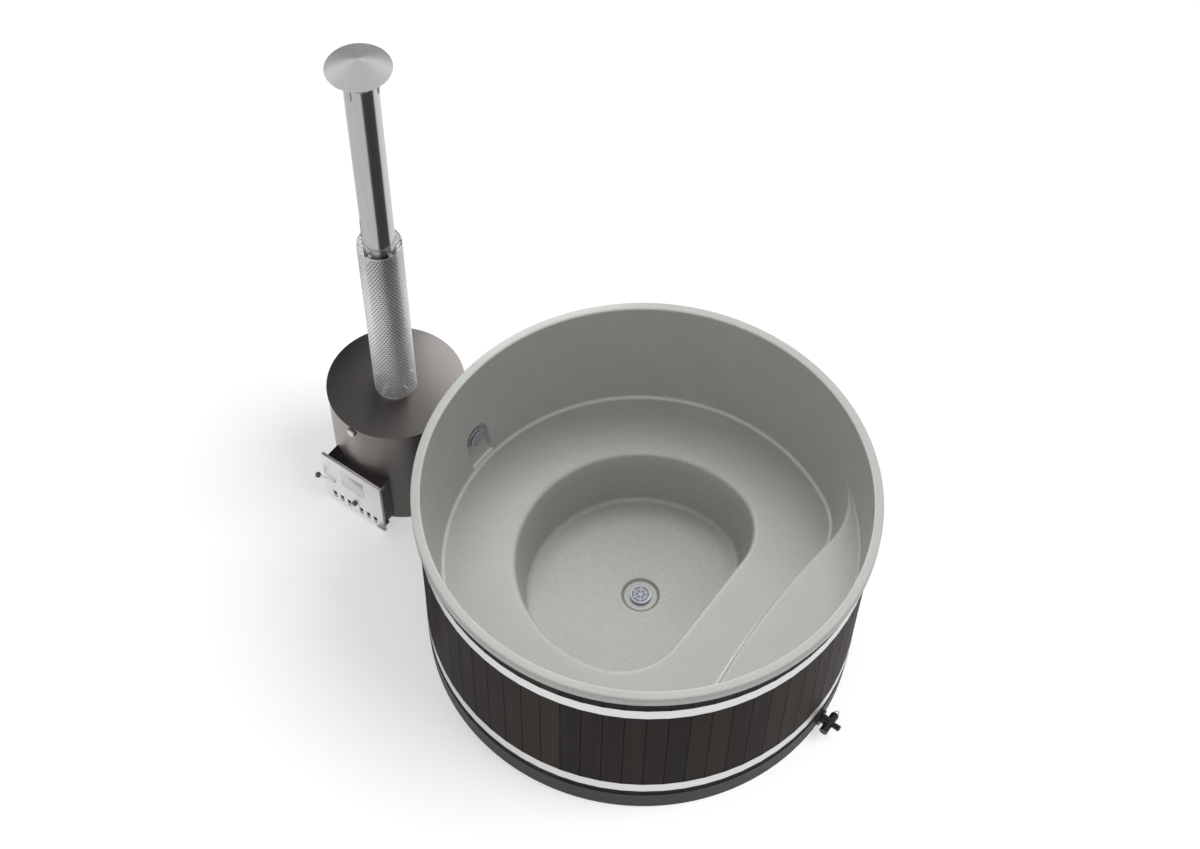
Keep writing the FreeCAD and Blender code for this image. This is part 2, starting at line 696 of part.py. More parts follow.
def valve_body():
    spigot = bar(PIPE_BORE - FIT_GAP, on_valve_axis(VALVE_X - SOCKET_DEPTH), on_valve_axis(VALVE_X))
    flange = bar(VALVE_FLANGE_RADIUS, on_valve_axis(VALVE_X), on_valve_axis(VALVE_X + VALVE_FLANGE))
    hub = bar(VALVE_HUB_RADIUS, on_valve_axis(VALVE_X + VALVE_FLANGE), on_valve_axis(BARREL_X))
    barrel = bar(BARREL_RADIUS, across(-BARREL_LOW), across(BARREL_HIGH))
    body = spigot.fuse([flange, hub, barrel, hose_tail()]).removeSplitter()
    inlet = bar(FLOW_RADIUS, on_valve_axis(VALVE_X - SOCKET_DEPTH - PAST), on_valve_axis(BARREL_X))
    outlet = bar(TAIL_BORE, on_valve_axis(BARREL_X), on_valve_axis(BARREL_X + TAIL_LENGTH + PAST))
    bore = bar(SPOOL_RADIUS + RUN_GAP, across(-BARREL_LOW - PAST), across(BARREL_HIGH + PAST))
    return body.cut([inlet, outlet, bore] + screw_holes())


def valve_cap():
    plug = SPOOL_RADIUS - FIT_GAP
    cap = turned([(0, -PLUG_DEPTH), (plug, -PLUG_DEPTH), (plug, 0), (BARREL_RADIUS, 0),
                  (BARREL_RADIUS, CAP_THICKNESS), (0, CAP_THICKNESS)])
    return placed(cap, across(-BARREL_LOW), Vector(0, -1, 0))


def valve_gland():
    plug = SPOOL_RADIUS - FIT_GAP
    bore = SPOOL_ROD + RUN_GAP
    gland = turned([(bore, -PLUG_DEPTH), (plug, -PLUG_DEPTH), (plug, 0), (GLAND_RADIUS, 0),
                    (GLAND_RADIUS, GLAND_THICKNESS), (bore, GLAND_THICKNESS)])
    return placed(gland, across(BARREL_HIGH), Vector(0, 1, 0))


def valve_spool():
    end = PLUG_DEPTH + SPOOL_END_PLAY - BARREL_LOW
    spool = turned([(0, end), (SPOOL_RADIUS, end), (SPOOL_RADIUS, end + SPOOL_PISTON),
                    (SPOOL_ROD, end + SPOOL_PISTON), (SPOOL_ROD, -SPOOL_LAND), (SPOOL_RADIUS, -SPOOL_LAND),
                    (SPOOL_RADIUS, SPOOL_LAND), (SPOOL_ROD, SPOOL_LAND), (SPOOL_ROD, RING_Y + RING_STAND),
                    (0, RING_Y + RING_STAND)])
    eye = bar(RING_WIRE + RUN_GAP, across(RING_Y) - Vector(PAST, 0, 0), across(RING_Y) + Vector(PAST, 0, 0))
    return placed(spool, across(0), Vector(0, 1, 0)).cut(eye)


def pull_ring():
    turns = [math.pi*k/RING_CHORD_COUNT for k in range(RING_CHORD_COUNT + 1)]
    bow = [Vector(RING_RADIUS*math.cos(t), RING_LEG + RING_RADIUS*math.sin(t), 0) for t in turns]
    path = [Vector(RING_RADIUS, 0, 0)] + bow + [Vector(-RING_RADIUS, 0, 0)]
    corners = even_outline(RING_SIDES, 2*RING_WIRE, 0)
    section = [Vector(RING_RADIUS + corner.x, 0, corner.y) for corner in corners]
    section = Part.makePolygon(section + section[:1])
    loop = Part.Wire(Part.makePolygon(path)).makePipeShell([section], True, False, 1)
    axle = bar(RING_WIRE, Vector(-RING_RADIUS - RING_WIRE, 0, 0), Vector(RING_RADIUS + RING_WIRE, 0, 0))
    return loop.fuse(axle).translated(across(RING_Y))


def valve_screws():
    face = VALVE_X + VALVE_FLANGE
    head = placed(even_prism(SCREW_SIDES, 2*SCREW_HEAD, 0, SCREW_HEAD_RISE), Vector(), Vector(1, 0, 0))
    shank = even_prism(SCREW_SIDES, 2*SCREW_RADIUS, 0, VALVE_FLANGE + SCREW_GRIP)
    shank = placed(shank, Vector(), Vector(-1, 0, 0))
    screw = head.fuse(shank)
    return [screw.translated(point) for point in screw_places(face)]


# Stove, drawn with its axis on Z and moved to its place
def ring_wall(outer, inner, low, high):
    return tube(outer, inner, UP*low, UP*high)


def neck_window(clearance):
    half = NECK_HALF + clearance
    return box(-half, half, -NECK_REACH - PAST, -STOVE_SHEET, DOOR_MIDDLE - half, DOOR_MIDDLE + half)


def nipple_holes():
    reach = Vector(STOVE_RADIUS + PAST, 0, 0)
    heights = (WATER_HEIGHT, OUTLET_HEIGHT)
    return [bar(PIPE_RADIUS + SEAT_GAP, UP*height, reach + UP*height) for height in heights]


def stove_shell():
    shell = ring_wall(STOVE_RADIUS, STOVE_RADIUS - STOVE_SHEET, STOVE_PLATE, STOVE_HEIGHT - STOVE_PLATE)
    plug = bar(PLUG_SHANK + FIT_GAP, UP*PLUG_HEIGHT, Vector(0, -STOVE_RADIUS - PAST, PLUG_HEIGHT))
    return at_stove(shell.cut([neck_window(SEAT_GAP), plug] + nipple_holes()))


def stove_top():
    low = STOVE_HEIGHT - STOVE_PLATE
    return at_stove(ring_wall(STOVE_RADIUS + TOP_PROUD, COLLAR_RADIUS + SEAT_GAP, low, STOVE_HEIGHT))


def stove_bottom():
    return at_stove(bar(STOVE_RADIUS, Vector(), UP*STOVE_PLATE))


def firebox():
    inner = FIREBOX_RADIUS - FIREBOX_WALL
    ceiling = FIREBOX_HEIGHT - FIREBOX_WALL
    throat = COLLAR_RADIUS - COLLAR_WALL
    drum = turned([(inner, STOVE_PLATE), (FIREBOX_RADIUS, STOVE_PLATE), (FIREBOX_RADIUS, FIREBOX_HEIGHT),
                   (throat, FIREBOX_HEIGHT), (throat, ceiling), (inner, ceiling)])
    return at_stove(drum.cut(neck_window(SEAT_GAP)))


def fire_neck():
    outer = box(-NECK_HALF, NECK_HALF, -NECK_REACH, 0, DOOR_MIDDLE - NECK_HALF, DOOR_MIDDLE + NECK_HALF)
    half = NECK_HALF - NECK_WALL
    inner = box(-half, half, -NECK_REACH - PAST, PAST, DOOR_MIDDLE - half, DOOR_MIDDLE + half)
    drum = bar(FIREBOX_RADIUS + SEAT_GAP, Vector(), UP*STOVE_HEIGHT)
    return at_stove(outer.cut([inner, drum]))


def grate():
    radius = FIREBOX_RADIUS - FIREBOX_WALL - GRATE_PLAY
    low = GRATE_HEIGHT - GRATE_THICKNESS
    plate = bar(radius, UP*low, UP*GRATE_HEIGHT)
    pitch = 2*radius/(GRATE_SLOT_COUNT + 1)
    slots = []
    for k in range(GRATE_SLOT_COUNT):
        x = (k - (GRATE_SLOT_COUNT - 1)/2)*pitch
        reach = math.sqrt(radius**2 - (abs(x) + GRATE_SLOT)**2) - GRATE_SLOT
        for side in (-1, 1):
            ends = sorted((side*GRATE_SLOT/2, side*max(reach, GRATE_SLOT)))
            slot = box(-GRATE_SLOT/2, GRATE_SLOT/2, ends[0], ends[1], low - PAST, GRATE_HEIGHT + PAST)
            slots.append(slot.translated(Vector(x, 0, 0)))
    foot = box(radius - 2*GRATE_FOOT, radius - GRATE_FOOT, -GRATE_FOOT/2, GRATE_FOOT/2, STOVE_PLATE, low)
    feet = round_about(foot, GRATE_FOOT_COUNT, GRATE_FOOT_ANGLE)
    return at_stove(plate.cut(slots).fuse(feet).removeSplitter())


def vent_washer():
    ring = tube(PLUG_WASHER, PLUG_SHANK + FIT_GAP, Vector(), UP*GASKET)
    return at_stove(placed(ring, Vector(0, -STOVE_RADIUS - FIT_GAP, PLUG_HEIGHT), Vector(0, -1, 0)))


def vent_plug():
    head = even_prism(HEX_SIDES, PLUG_ACROSS, GASKET, GASKET + PLUG_HEAD)
    shank = bar(PLUG_SHANK, UP*(-2*STOVE_SHEET), UP*GASKET)
    seat = Vector(0, -STOVE_RADIUS - FIT_GAP, PLUG_HEIGHT)
    return at_stove(placed(head.fuse(shank), seat, Vector(0, -1, 0)))


# Fire door, drawn about the stove's axis and moved with it
def hinge_lug_levels():
    middle = (DOOR_MIDDLE - HINGE_SPREAD, DOOR_MIDDLE + HINGE_SPREAD)
    return [(level - HINGE_LUG - SEAT_GAP, level - SEAT_GAP) for level in middle]


def hinge_pins():
    axis = Vector(HINGE_X, HINGE_Y, 0)
    return [at_stove(bar(HINGE_PIN, axis + UP*low, axis + UP*(high + SEAT_GAP + HINGE_KNUCKLE)))
            for low, high in hinge_lug_levels()]


def hinge_lugs():
    lugs = []
    for low, high in hinge_lug_levels():
        axis = Vector(HINGE_X, HINGE_Y, 0)
        right = HINGE_X + HINGE_EYE - HINGE_RELIEF
        eye = bar(HINGE_EYE, axis + UP*low, axis + UP*high)
        arm = box(HINGE_X - HINGE_EYE, right, HINGE_Y, -NECK_REACH + HINGE_TAIL, low, high)
        root = box(NECK_HALF, right, -NECK_REACH + SEAT_GAP, -NECK_REACH + HINGE_TAIL, low, high)
        hole = bar(HINGE_PIN + RUN_GAP, axis + UP*(low - PAST), axis + UP*(high + PAST))
        lugs.append(at_stove(eye.fuse([arm, root]).removeSplitter().cut(hole)))
    return lugs


def air_hole_places():
    outward = [AIR_HOLE_INNER + k*AIR_HOLE_PITCH for k in range(AIR_HOLE_COUNT)]
    return [-x for x in reversed(outward)] + outward


def air_windows(width, low, high):
    half = AIR_HOLE_HEIGHT/2
    return [box(x - width/2, x + width/2, low, high, AIR_HOLE_ROW - half, AIR_HOLE_ROW + half)
            for x in air_hole_places()]


def door_panel():
    low = DOOR_MIDDLE - DOOR_HALF
    high = DOOR_MIDDLE + DOOR_HALF
    inner = DOOR_HALF - DOOR_SHEET
    tray = box(-DOOR_HALF, DOOR_HALF, DOOR_FRONT, DOOR_BACK, low, high)
    tray = tray.cut(box(-inner, inner, DOOR_INSIDE, DOOR_BACK + PAST, low + DOOR_SHEET, high - DOOR_SHEET))
    stem = KNOB_STEM + SEAT_GAP
    slot = box(KNOB_X - stem, KNOB_X + SLIDE_TRAVEL + stem, DOOR_FRONT - PAST, DOOR_INSIDE + PAST,
               KNOB_HEIGHT - stem, KNOB_HEIGHT + stem)
    shaft = bar(LATCH_SHAFT + RUN_GAP, Vector(LATCH_X, DOOR_FRONT - PAST, LATCH_HEIGHT),
                Vector(LATCH_X, DOOR_BACK, LATCH_HEIGHT))
    cuts = air_windows(AIR_HOLE_WIDTH, DOOR_FRONT - PAST, DOOR_INSIDE + DOOR_SHEET) + [slot, shaft]
    axis = Vector(HINGE_X, HINGE_Y, 0)
    knuckles = []
    for lug_low, lug_high in hinge_lug_levels():
        start = lug_high + SEAT_GAP
        end = start + HINGE_KNUCKLE
        back = HINGE_Y + HINGE_PIN + KNUCKLE_WALL
        knuckles.append(box(HINGE_X - HINGE_EYE + SEAT_GAP, inner, DOOR_INSIDE, back, start, end))
        cuts.append(bar(HINGE_PIN + RUN_GAP, axis + UP*(lug_low - PAST), axis + UP*(end + PAST)))
        cuts.append(box(inner - SEAT_GAP, DOOR_HALF + PAST, DOOR_INSIDE, DOOR_BACK + PAST,
                        lug_low - HINGE_RELIEF, lug_high + SEAT_GAP))
    return at_stove(tray.fuse(knuckles).removeSplitter().cut(cuts))


def door_heat_shield():
    half = SEAL_IN - SEAT_GAP
    plate = box(-half, half, SHIELD_BACK - SHIELD_SHEET, SHIELD_BACK, DOOR_MIDDLE - half, DOOR_MIDDLE + half)
    bosses = []
    for x in (-SHIELD_BOSS_X, SHIELD_BOSS_X):
        for z in (SHIELD_BOSS_LOW, SHIELD_BOSS_HIGH):
            plate_side = Vector(x, SHIELD_BACK - SHIELD_SHEET, z)
            bosses.append(bar(SHIELD_BOSS, Vector(x, DOOR_INSIDE, z), plate_side))
    hole = bar(LATCH_SHAFT + SEAT_GAP, Vector(LATCH_X, DOOR_FRONT, LATCH_HEIGHT),
               Vector(LATCH_X, 0, LATCH_HEIGHT))
    return at_stove(plate.fuse(bosses).removeSplitter().cut(hole))


def door_seal():
    front = SLIDE_BACK + SLIDE_LIP_SHEET + 2*SEAT_GAP
    back = -NECK_REACH - SEAT_GAP
    outer = box(-SEAL_OUT, SEAL_OUT, front, back, DOOR_MIDDLE - SEAL_OUT, DOOR_MIDDLE + SEAL_OUT)
    inner = box(-SEAL_IN, SEAL_IN, front - PAST, back + PAST, DOOR_MIDDLE - SEAL_IN, DOOR_MIDDLE + SEAL_IN)
    return at_stove(outer.cut(inner))


def slide_levels():
    return AIR_HOLE_ROW - SLIDE_BELOW, AIR_HOLE_ROW + SLIDE_ABOVE


def slide_guides():
    low, high = slide_levels()
    reach = SEAL_IN - SEAT_GAP - DOOR_GAP
    lip_front = SLIDE_BACK + SEAT_GAP
    lip_back = lip_front + SLIDE_LIP_SHEET
    guides = []
    for side, level in ((-1, low - SEAT_GAP), (1, high + SEAT_GAP)):
        foot = sorted((level, level + side*SLIDE_GUIDE))
        lip = sorted((level + side*SLIDE_GUIDE, level - side*SLIDE_LIP))
        strip = box(-reach, reach, DOOR_INSIDE, lip_back, foot[0], foot[1])
        edge = box(-reach, reach, lip_front, lip_back, lip[0], lip[1])
        guides.append(at_stove(strip.fuse(edge).removeSplitter()))
    return guides


def air_slide():
    low, high = slide_levels()
    far = air_hole_places()[-1] + AIR_HOLE_WIDTH/2
    front = DOOR_INSIDE + SEAT_GAP
    plate = box(-far - SLIDE_MARGIN - SLIDE_TRAVEL, far, front, SLIDE_BACK, low, high)
    windows = air_windows(AIR_HOLE_WIDTH - 2*AIR_LAND, front - PAST, SLIDE_BACK + PAST)
    socket = bar(KNOB_STEM + RUN_GAP, Vector(KNOB_X, front - PAST, KNOB_HEIGHT),
                 Vector(KNOB_X, SLIDE_BACK + PAST, KNOB_HEIGHT))
    return at_stove(plate.cut(windows + [socket]))


def slide_knob():
    face = SLIDE_BACK - DOOR_FRONT + SEAT_GAP
    knob = turned([(0, 0), (KNOB_STEM, 0), (KNOB_STEM, face), (KNOB_RADIUS, face),
                   (KNOB_RADIUS, face + KNOB_LENGTH), (0, face + KNOB_LENGTH)])
    return at_stove(placed(knob, Vector(KNOB_X, SLIDE_BACK, KNOB_HEIGHT), Vector(0, -1, 0)))


def ball_centre():
    return Vector(LATCH_X - LATCH_REACH, DOOR_FRONT - LATCH_STAND, LATCH_HEIGHT)


def latch_lever():
    hub_back = DOOR_FRONT - SEAT_GAP
    hub_front = hub_back - LATCH_HUB_LENGTH
    shaft_end = SHIELD_BACK + SEAT_GAP + TONGUE_BACK
    front = Vector(LATCH_X, hub_front, LATCH_HEIGHT)
    hub = bar(LATCH_HUB, front, Vector(LATCH_X, hub_back, LATCH_HEIGHT))
    shaft = bar(LATCH_SHAFT, front, Vector(LATCH_X, shaft_end, LATCH_HEIGHT))
    root = Vector(LATCH_X, (hub_front + hub_back)/2, LATCH_HEIGHT)
    tip = ball_centre()
    arm = bar(LATCH_ARM, root, tip + (root - tip).normalize()*(BALL_RADIUS - LATCH_ARM))
    return at_stove(hub.fuse([shaft, arm]).removeSplitter())


def latch_ball():
    centre = ball_centre()
    root = Vector(LATCH_X, DOOR_FRONT - SEAT_GAP - LATCH_HUB_LENGTH/2, LATCH_HEIGHT)
    turns = [-math.pi/2 + math.pi*k/BALL_STRIP_COUNT for k in range(1, BALL_STRIP_COUNT)]
    rings = [even_outline(BALL_SIDES, 2*BALL_RADIUS*math.cos(t), BALL_RADIUS*math.sin(t)) for t in turns]
    ball = facetted(rings)
    hole = bar(LATCH_ARM + RUN_GAP, UP*-2*BALL_RADIUS, UP*(LATCH_ARM - BALL_RADIUS + RUN_GAP))
    return at_stove(placed(ball.cut(hole), centre, centre - root))


def latch_tongue():
    back = SHIELD_BACK + SEAT_GAP + TONGUE_BACK
    half = TONGUE_WIDTH/2
    plate = box(LATCH_X - half, LATCH_X + half, back - TONGUE_THICKNESS, back, LATCH_HEIGHT - half,
                LATCH_HEIGHT + TONGUE_LENGTH)
    front = Vector(LATCH_X, DOOR_FRONT, LATCH_HEIGHT)
    hole = bar(LATCH_SHAFT + RUN_GAP, front, Vector(LATCH_X, 0, LATCH_HEIGHT))
    return at_stove(plate.cut(hole))


def latch_keeper():
    wall = NECK_HALF - NECK_WALL
    back = SHIELD_BACK + SEAT_GAP + TONGUE_BACK - TONGUE_THICKNESS - SEAT_GAP
    half = KEEPER_HEIGHT/2
    front = back - KEEPER_SHEET
    return at_stove(box(-wall, KEEPER_WIDTH - wall, front, back, LATCH_HEIGHT - half, LATCH_HEIGHT + half))


# Chimney
def flue_collar():
    top = STOVE_HEIGHT + COLLAR_RISE
    return at_stove(ring_wall(COLLAR_RADIUS, COLLAR_RADIUS - COLLAR_WALL, FIREBOX_HEIGHT, top))


def clip_places():
    tops = (FLUE_JOINT - CLIP_BELOW_JOINT, STOVE_HEIGHT + CLIP_BASE + CLIP_FOOT)
    angles = [CLIP_ANGLE + FULL_TURN*k/CLIP_COUNT for k in range(CLIP_COUNT)]
    return [(angle, top) for top in tops for angle in angles]


def lower_flue():
    top = STOVE_HEIGHT + LOWER_FLUE
    return at_stove(ring_wall(LOWER_FLUE_RADIUS, LOWER_FLUE_RADIUS - FLUE_SHEET, STOVE_HEIGHT, top))


def upper_flue():
    return at_stove(ring_wall(FLUE_RADIUS, FLUE_RADIUS - FLUE_SHEET, FLUE_JOINT, FLUE_TOP))


def chimney_guard():
    return at_stove(ring_wall(GUARD_RADIUS, GUARD_RADIUS - GUARD_SHEET, STOVE_HEIGHT, GUARD_TOP))


def guard_clips():
    inner = LOWER_FLUE_RADIUS + SEAT_GAP
    outer = math.sqrt((GUARD_RADIUS - GUARD_SHEET - SEAT_GAP)**2 - (CLIP_WIDTH/2)**2)
    half = CLIP_WIDTH/2
    clips = []
    for angle, top in clip_places():
        low = top - CLIP_FOOT
        foot = low - CLIP_TAIL
        outline = [(inner, top), (inner, low), (outer - CLIP_SHEET, low), (outer - CLIP_SHEET, foot),
                   (outer, foot), (outer, low + CLIP_SHEET), (inner + CLIP_SHEET, low + CLIP_SHEET),
                   (inner + CLIP_SHEET, top)]
        clip = prism([Vector(x, -half, z) for x, z in outline], Vector(0, CLIP_WIDTH, 0))
        clips.append(at_stove(spun(clip, angle)))
    return clips


def clip_screws():
    screws = []
    for angle, top in clip_places():
        base = Vector(LOWER_FLUE_RADIUS + SEAT_GAP + CLIP_SHEET, 0, top - CLIP_SCREW_DROP)
        head = placed(even_prism(SCREW_SIDES, 2*SCREW_HEAD, 0, SCREW_HEAD_RISE), base, Vector(1, 0, 0))
        screws.append(at_stove(spun(head, angle)))
    return screws


def rain_cap():
    low = FLUE_TOP + CAP_SPACE
    high = low + CAP_RISE
    cap = turned([(0, high - CAP_SHEET), (CAP_RADIUS, low - CAP_SHEET), (CAP_RADIUS, low), (0, high)])
    return at_stove(cap)


def cap_legs():
    low = FLUE_TOP - LEG_GRIP
    rim = FLUE_TOP + CAP_SPACE
    inner = FLUE_RADIUS + SEAT_GAP
    slope = CAP_RISE/CAP_RADIUS

    def under_cap(radius):
        return rim - CAP_SHEET + (CAP_RADIUS - radius)*slope - SEAT_GAP

    spread = inner + LEG_SPREAD
    tab = spread + LEG_TAB
    outline = [(inner, low), (inner + LEG_SHEET, low), (inner + LEG_SHEET, FLUE_TOP),
               (spread + LEG_SHEET, under_cap(spread) - LEG_SHEET), (tab, under_cap(tab) - LEG_SHEET),
               (tab, under_cap(tab)), (spread, under_cap(spread)), (inner, FLUE_TOP)]
    leg = prism([Vector(x, -LEG_WIDTH/2, z) for x, z in outline], Vector(0, LEG_WIDTH, 0))
    return [at_stove(one) for one in round_about(leg, LEG_COUNT, LEG_ANGLE)]


os.makedirs("parts", exist_ok=True)
save("tub_liner", tub_liner())
save("staves", *staves())
save("hoop_lower", hoop(LOWER_HOOP))
save("hoop_upper", hoop(UPPER_HOOP))
save("hoop_bolts", hoop_bolt(LOWER_HOOP), hoop_bolt(UPPER_HOOP))
save("base_ring", base_ring())
save("bearers", *bearers())
save("strainer_bodies", *fitting_bodies())
save("strainer_covers", *both_fittings(fitting_cover()))
save("strainer_gaskets", *both_fittings(fitting_gasket()))
save("strainer_nuts", *both_fittings(fitting_nut()))
save("drain_tee", drain_tee())
save("drain_pipe", water_pipe(TEE_REACH - SOCKET_DEPTH, BASE_OUT))
save("return_pipe", water_pipe(-STUB_END, SOCKET_DEPTH - TEE_REACH))
save("stove_nipples", *at_both_lines(nipple))
save("hoses", *at_both_lines(hose))
save("hose_clamps", *(clamps(WATER_HEIGHT) + clamps(OUTLET_HEIGHT)))
save("valve_gasket", valve_gasket())
save("valve_body", valve_body())
save("valve_cap", valve_cap())
save("valve_gland", valve_gland())
save("valve_spool", valve_spool())
save("pull_ring", pull_ring())
save("valve_screws", *valve_screws())
save("stove_shell", stove_shell())
save("stove_top", stove_top())
save("stove_bottom", stove_bottom())
save("firebox", firebox())
save("fire_neck", fire_neck())
save("grate", grate())
save("vent_plug", vent_plug())
save("vent_washer", vent_washer())
save("hinge_lugs", *hinge_lugs())
save("hinge_pins", *hinge_pins())
save("door_panel", door_panel())
save("door_heat_shield", door_heat_shield())
save("door_seal", door_seal())
save("slide_guides", *slide_guides())
save("air_slide", air_slide())
save("slide_knob", slide_knob())
save("latch_lever", latch_lever())
save("latch_ball", latch_ball())
save("latch_tongue", latch_tongue())
save("latch_keeper", latch_keeper())
save("flue_collar", flue_collar())
save("lower_flue", lower_flue())
save("upper_flue", upper_flue())
save("chimney_guard", chimney_guard())
save("guard_clips", *guard_clips())
save("clip_screws", *clip_screws())
save("rain_cap", rain_cap())
save("cap_legs", *cap_legs())
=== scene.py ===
import json
import math

import bmesh
import bpy
from mathutils import Matrix, Vector

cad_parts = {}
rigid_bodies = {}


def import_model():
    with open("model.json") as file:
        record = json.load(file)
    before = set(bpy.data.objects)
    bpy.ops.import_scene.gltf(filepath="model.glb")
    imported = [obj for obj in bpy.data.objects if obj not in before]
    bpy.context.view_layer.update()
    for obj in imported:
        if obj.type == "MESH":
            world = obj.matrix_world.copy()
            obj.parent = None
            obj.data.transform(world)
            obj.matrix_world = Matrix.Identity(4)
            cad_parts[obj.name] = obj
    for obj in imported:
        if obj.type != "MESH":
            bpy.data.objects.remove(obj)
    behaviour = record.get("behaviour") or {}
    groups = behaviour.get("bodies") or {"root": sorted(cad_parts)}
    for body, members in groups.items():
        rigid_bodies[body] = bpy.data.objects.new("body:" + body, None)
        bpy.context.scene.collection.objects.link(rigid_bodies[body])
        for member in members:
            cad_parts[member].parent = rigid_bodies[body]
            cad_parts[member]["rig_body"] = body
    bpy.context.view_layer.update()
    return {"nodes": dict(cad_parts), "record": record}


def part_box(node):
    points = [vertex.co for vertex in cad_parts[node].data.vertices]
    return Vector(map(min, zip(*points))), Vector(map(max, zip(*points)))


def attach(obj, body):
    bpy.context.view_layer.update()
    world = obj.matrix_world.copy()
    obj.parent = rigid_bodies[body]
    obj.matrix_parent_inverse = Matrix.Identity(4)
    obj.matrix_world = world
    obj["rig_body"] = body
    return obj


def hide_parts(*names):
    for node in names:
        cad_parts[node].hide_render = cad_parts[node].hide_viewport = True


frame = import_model()

# The looks of a wood-fired round hot tub: liner, staves, hoops, stove, chimney and drain valve, in metres.
MM = 0.001
FULL_TURN = 2*math.pi
UP = Vector((0, 0, 1))
ORIGIN = Vector()

# Camera, as fitted to the photograph
IMAGE_WIDTH = 1200
LENS_IN_PIXELS = 1953.6
FILM_WIDTH = 36.0
EYE = Vector((2.0471, -3.2659, 6.7701))
AHEAD = Vector((-0.3270, 0.4723, -0.8185))
LEVEL = Vector((0.8221, 0.5693, 0.0))
ROLL = math.radians(1.497)
FAR_CLIP = 200.0

# Light
SKY_LIGHT = 0.54
KEY_LIGHT = 1.90
KEY_WIDTH = math.radians(38)
KEY_FROM = Vector((-0.28, 0.62, 1.0))
FLOOR_LIGHT = 2.2
FLOOR_LIGHT_WIDTH = math.radians(42)
FLOOR_LIGHT_FROM = Vector((0.66, 0.30, 0.9))
WHITE = (1.0, 1.0, 1.0, 1.0)

# Floor
FLOOR_TONE = 0.56
FLOOR_CLOUD_TONE = 1.02*FLOOR_TONE
FLOOR_CLOUD = 2.0
FLOOR_GLOW = 0.48
FLOOR_SIZE = 60.0
FLOOR_DROP = 0.5*MM

# Cards round the chimney that only reflections show: start and end in degrees, bottom, strength
CARD_STEPS = 24
CARD_RADIUS = 330*MM
CARD_HIGH = 2150*MM
CHIMNEY_CARDS = {
    "dark_card": (-50.0, 28.0, 1000*MM, 0.045), "grey_card": (-180.0, -50.0, 1000*MM, 0.56),
    "right_card": (28.0, 115.0, 1000*MM, 0.70), "edge_card": (140.0, 180.0, 1200*MM, 0.90),
}

# Cards on the ground round the stove: inner reach, start and end in degrees, strength
GROUND_CARDS = {
    "foot_card": (270*MM, -72.0, 60.0, 0.20), "door_card": (530*MM, -108.0, -72.0, 0.20),
}
GROUND_CARD_OUTER = 900*MM
GROUND_CARD_LIFT = 2*MM

# Upright cards behind the stove: left, right, bottom, top, strength
BACK_CARDS_AWAY = 0.45
BACK_CARDS = {
    "back_card": (-1.5, 0.06, 0.60, 2.2, 0.02), "bright_card": (0.12, 1.0, 0.80, 2.2, 4.0),
    "cap_card": (-1.5, 1.0, 2.2, 2.6, 0.34),
}

# Round cards over the stove and in front of the tub
TOP_CARD_HEIGHT = 3.5
TOP_CARD_RADIUS = 1.2
TOP_CARD_LIGHT = 0.55
SOFT_BOX = Vector((3.0, -3.6, 4.6))
SOFT_BOX_RADIUS = 1.0
SOFT_BOX_LIGHT = 3.0

# Meshes: distances at which points merge, and angles in degrees
MERGE = 0.01*MM
SKIN_MERGE = 0.05*MM
FLAT_ANGLE = 0.5
EASED_ANGLE = 32.0
SHARP_ANGLE = 38.0
SOFT_ANGLE = 50.0
ROUND_ANGLE = 60.0
EASED_EDGE_STEPS = 2

# Liner. A bay is its radius, the distance of its cut edge, the radius of its corners and of the edge's bow
RIM_RADIUS = 850*MM
RIM_INNER = 815*MM
RIM_HEIGHT = 900*MM
RIM_DROP = 44*MM
RIM_ROUND = 9*MM
RIM_OUTER_ROUND = 0.8*RIM_ROUND
GROOVE_DROP = 11*MM
GROOVE = 1.3*MM
LINER_WALL = 4*MM
FLOOR_HEIGHT = 132*MM
SEAT_HEIGHT = 396*MM
STEP_HEIGHT = 604*MM
WELL = (487*MM, 305*MM, 250*MM, 30.0)
WELL_DRAFT = 40*MM
BENCH = (800*MM, 549*MM, 300*MM, 2.83)
BENCH_DRAFT = 37*MM
WALL_SWELL = 1.5*MM
FLOOR_EASE = 22*MM
SEAT_EASE = 15*MM
EDGE_EASE = 22*MM
STEP_FOOT_EASE = 11*MM
STEP_EDGE_SHARE = 0.45
STEP_FOOT_SHARE = 0.3
RECESS_RADIUS = 75*MM
RECESS_DEPTH = 8*MM
RECESS_SLOPE = 10*MM
RECESS_EASE = 3*MM
DRAIN_HOLE = 24.2*MM
POCKET_FACE = 805.7*MM
POCKET_HALF = 62*MM
POCKET_LOW = 410*MM
POCKET_LEDGE = 10*MM
OUTLET_HEIGHT = 528*MM
POCKET_EDGE = 5*MM
POCKET_GRID = 4*MM

# How finely the liner is divided
LINER_COLUMNS = 240
EASE_STEPS = 6
RECESS_STEPS = 3
STEP_FOOT_STEPS = 4
RECESS_RINGS = 1
FLOOR_RINGS = 4
WELL_RINGS = 3
SEAT_RINGS = 4
STEP_RINGS = 2
UPPER_RINGS = 8

# Painted light and shade on the liner: a lighter rim, painted highlights along its edges, and painted shade
# in the well and the recess
RIM_PAINTED_LIGHT = 0.10
RIM_PAINTED_HIGHLIGHT = 0.30
SEAT_PAINTED_HIGHLIGHT = 0.50
WELL_EDGE_PAINTED_HIGHLIGHT = 0.12
LEDGE_PAINTED_HIGHLIGHT = 0.60
WELL_PAINTED_SHADE = -0.10
RECESS_PAINTED_SHADE = -0.45

# Staves
STAVE_COUNT = 68
STAVE_PHASE = 0.21
STAVE_INNER = 820*MM
STAVE_OUTER = 832*MM
STAVE_GAP = 1.8*MM
STAVE_LAP = 0.4*MM
STAVE_EASE = 1.6*MM
STAVE_EASE_STEPS = 3

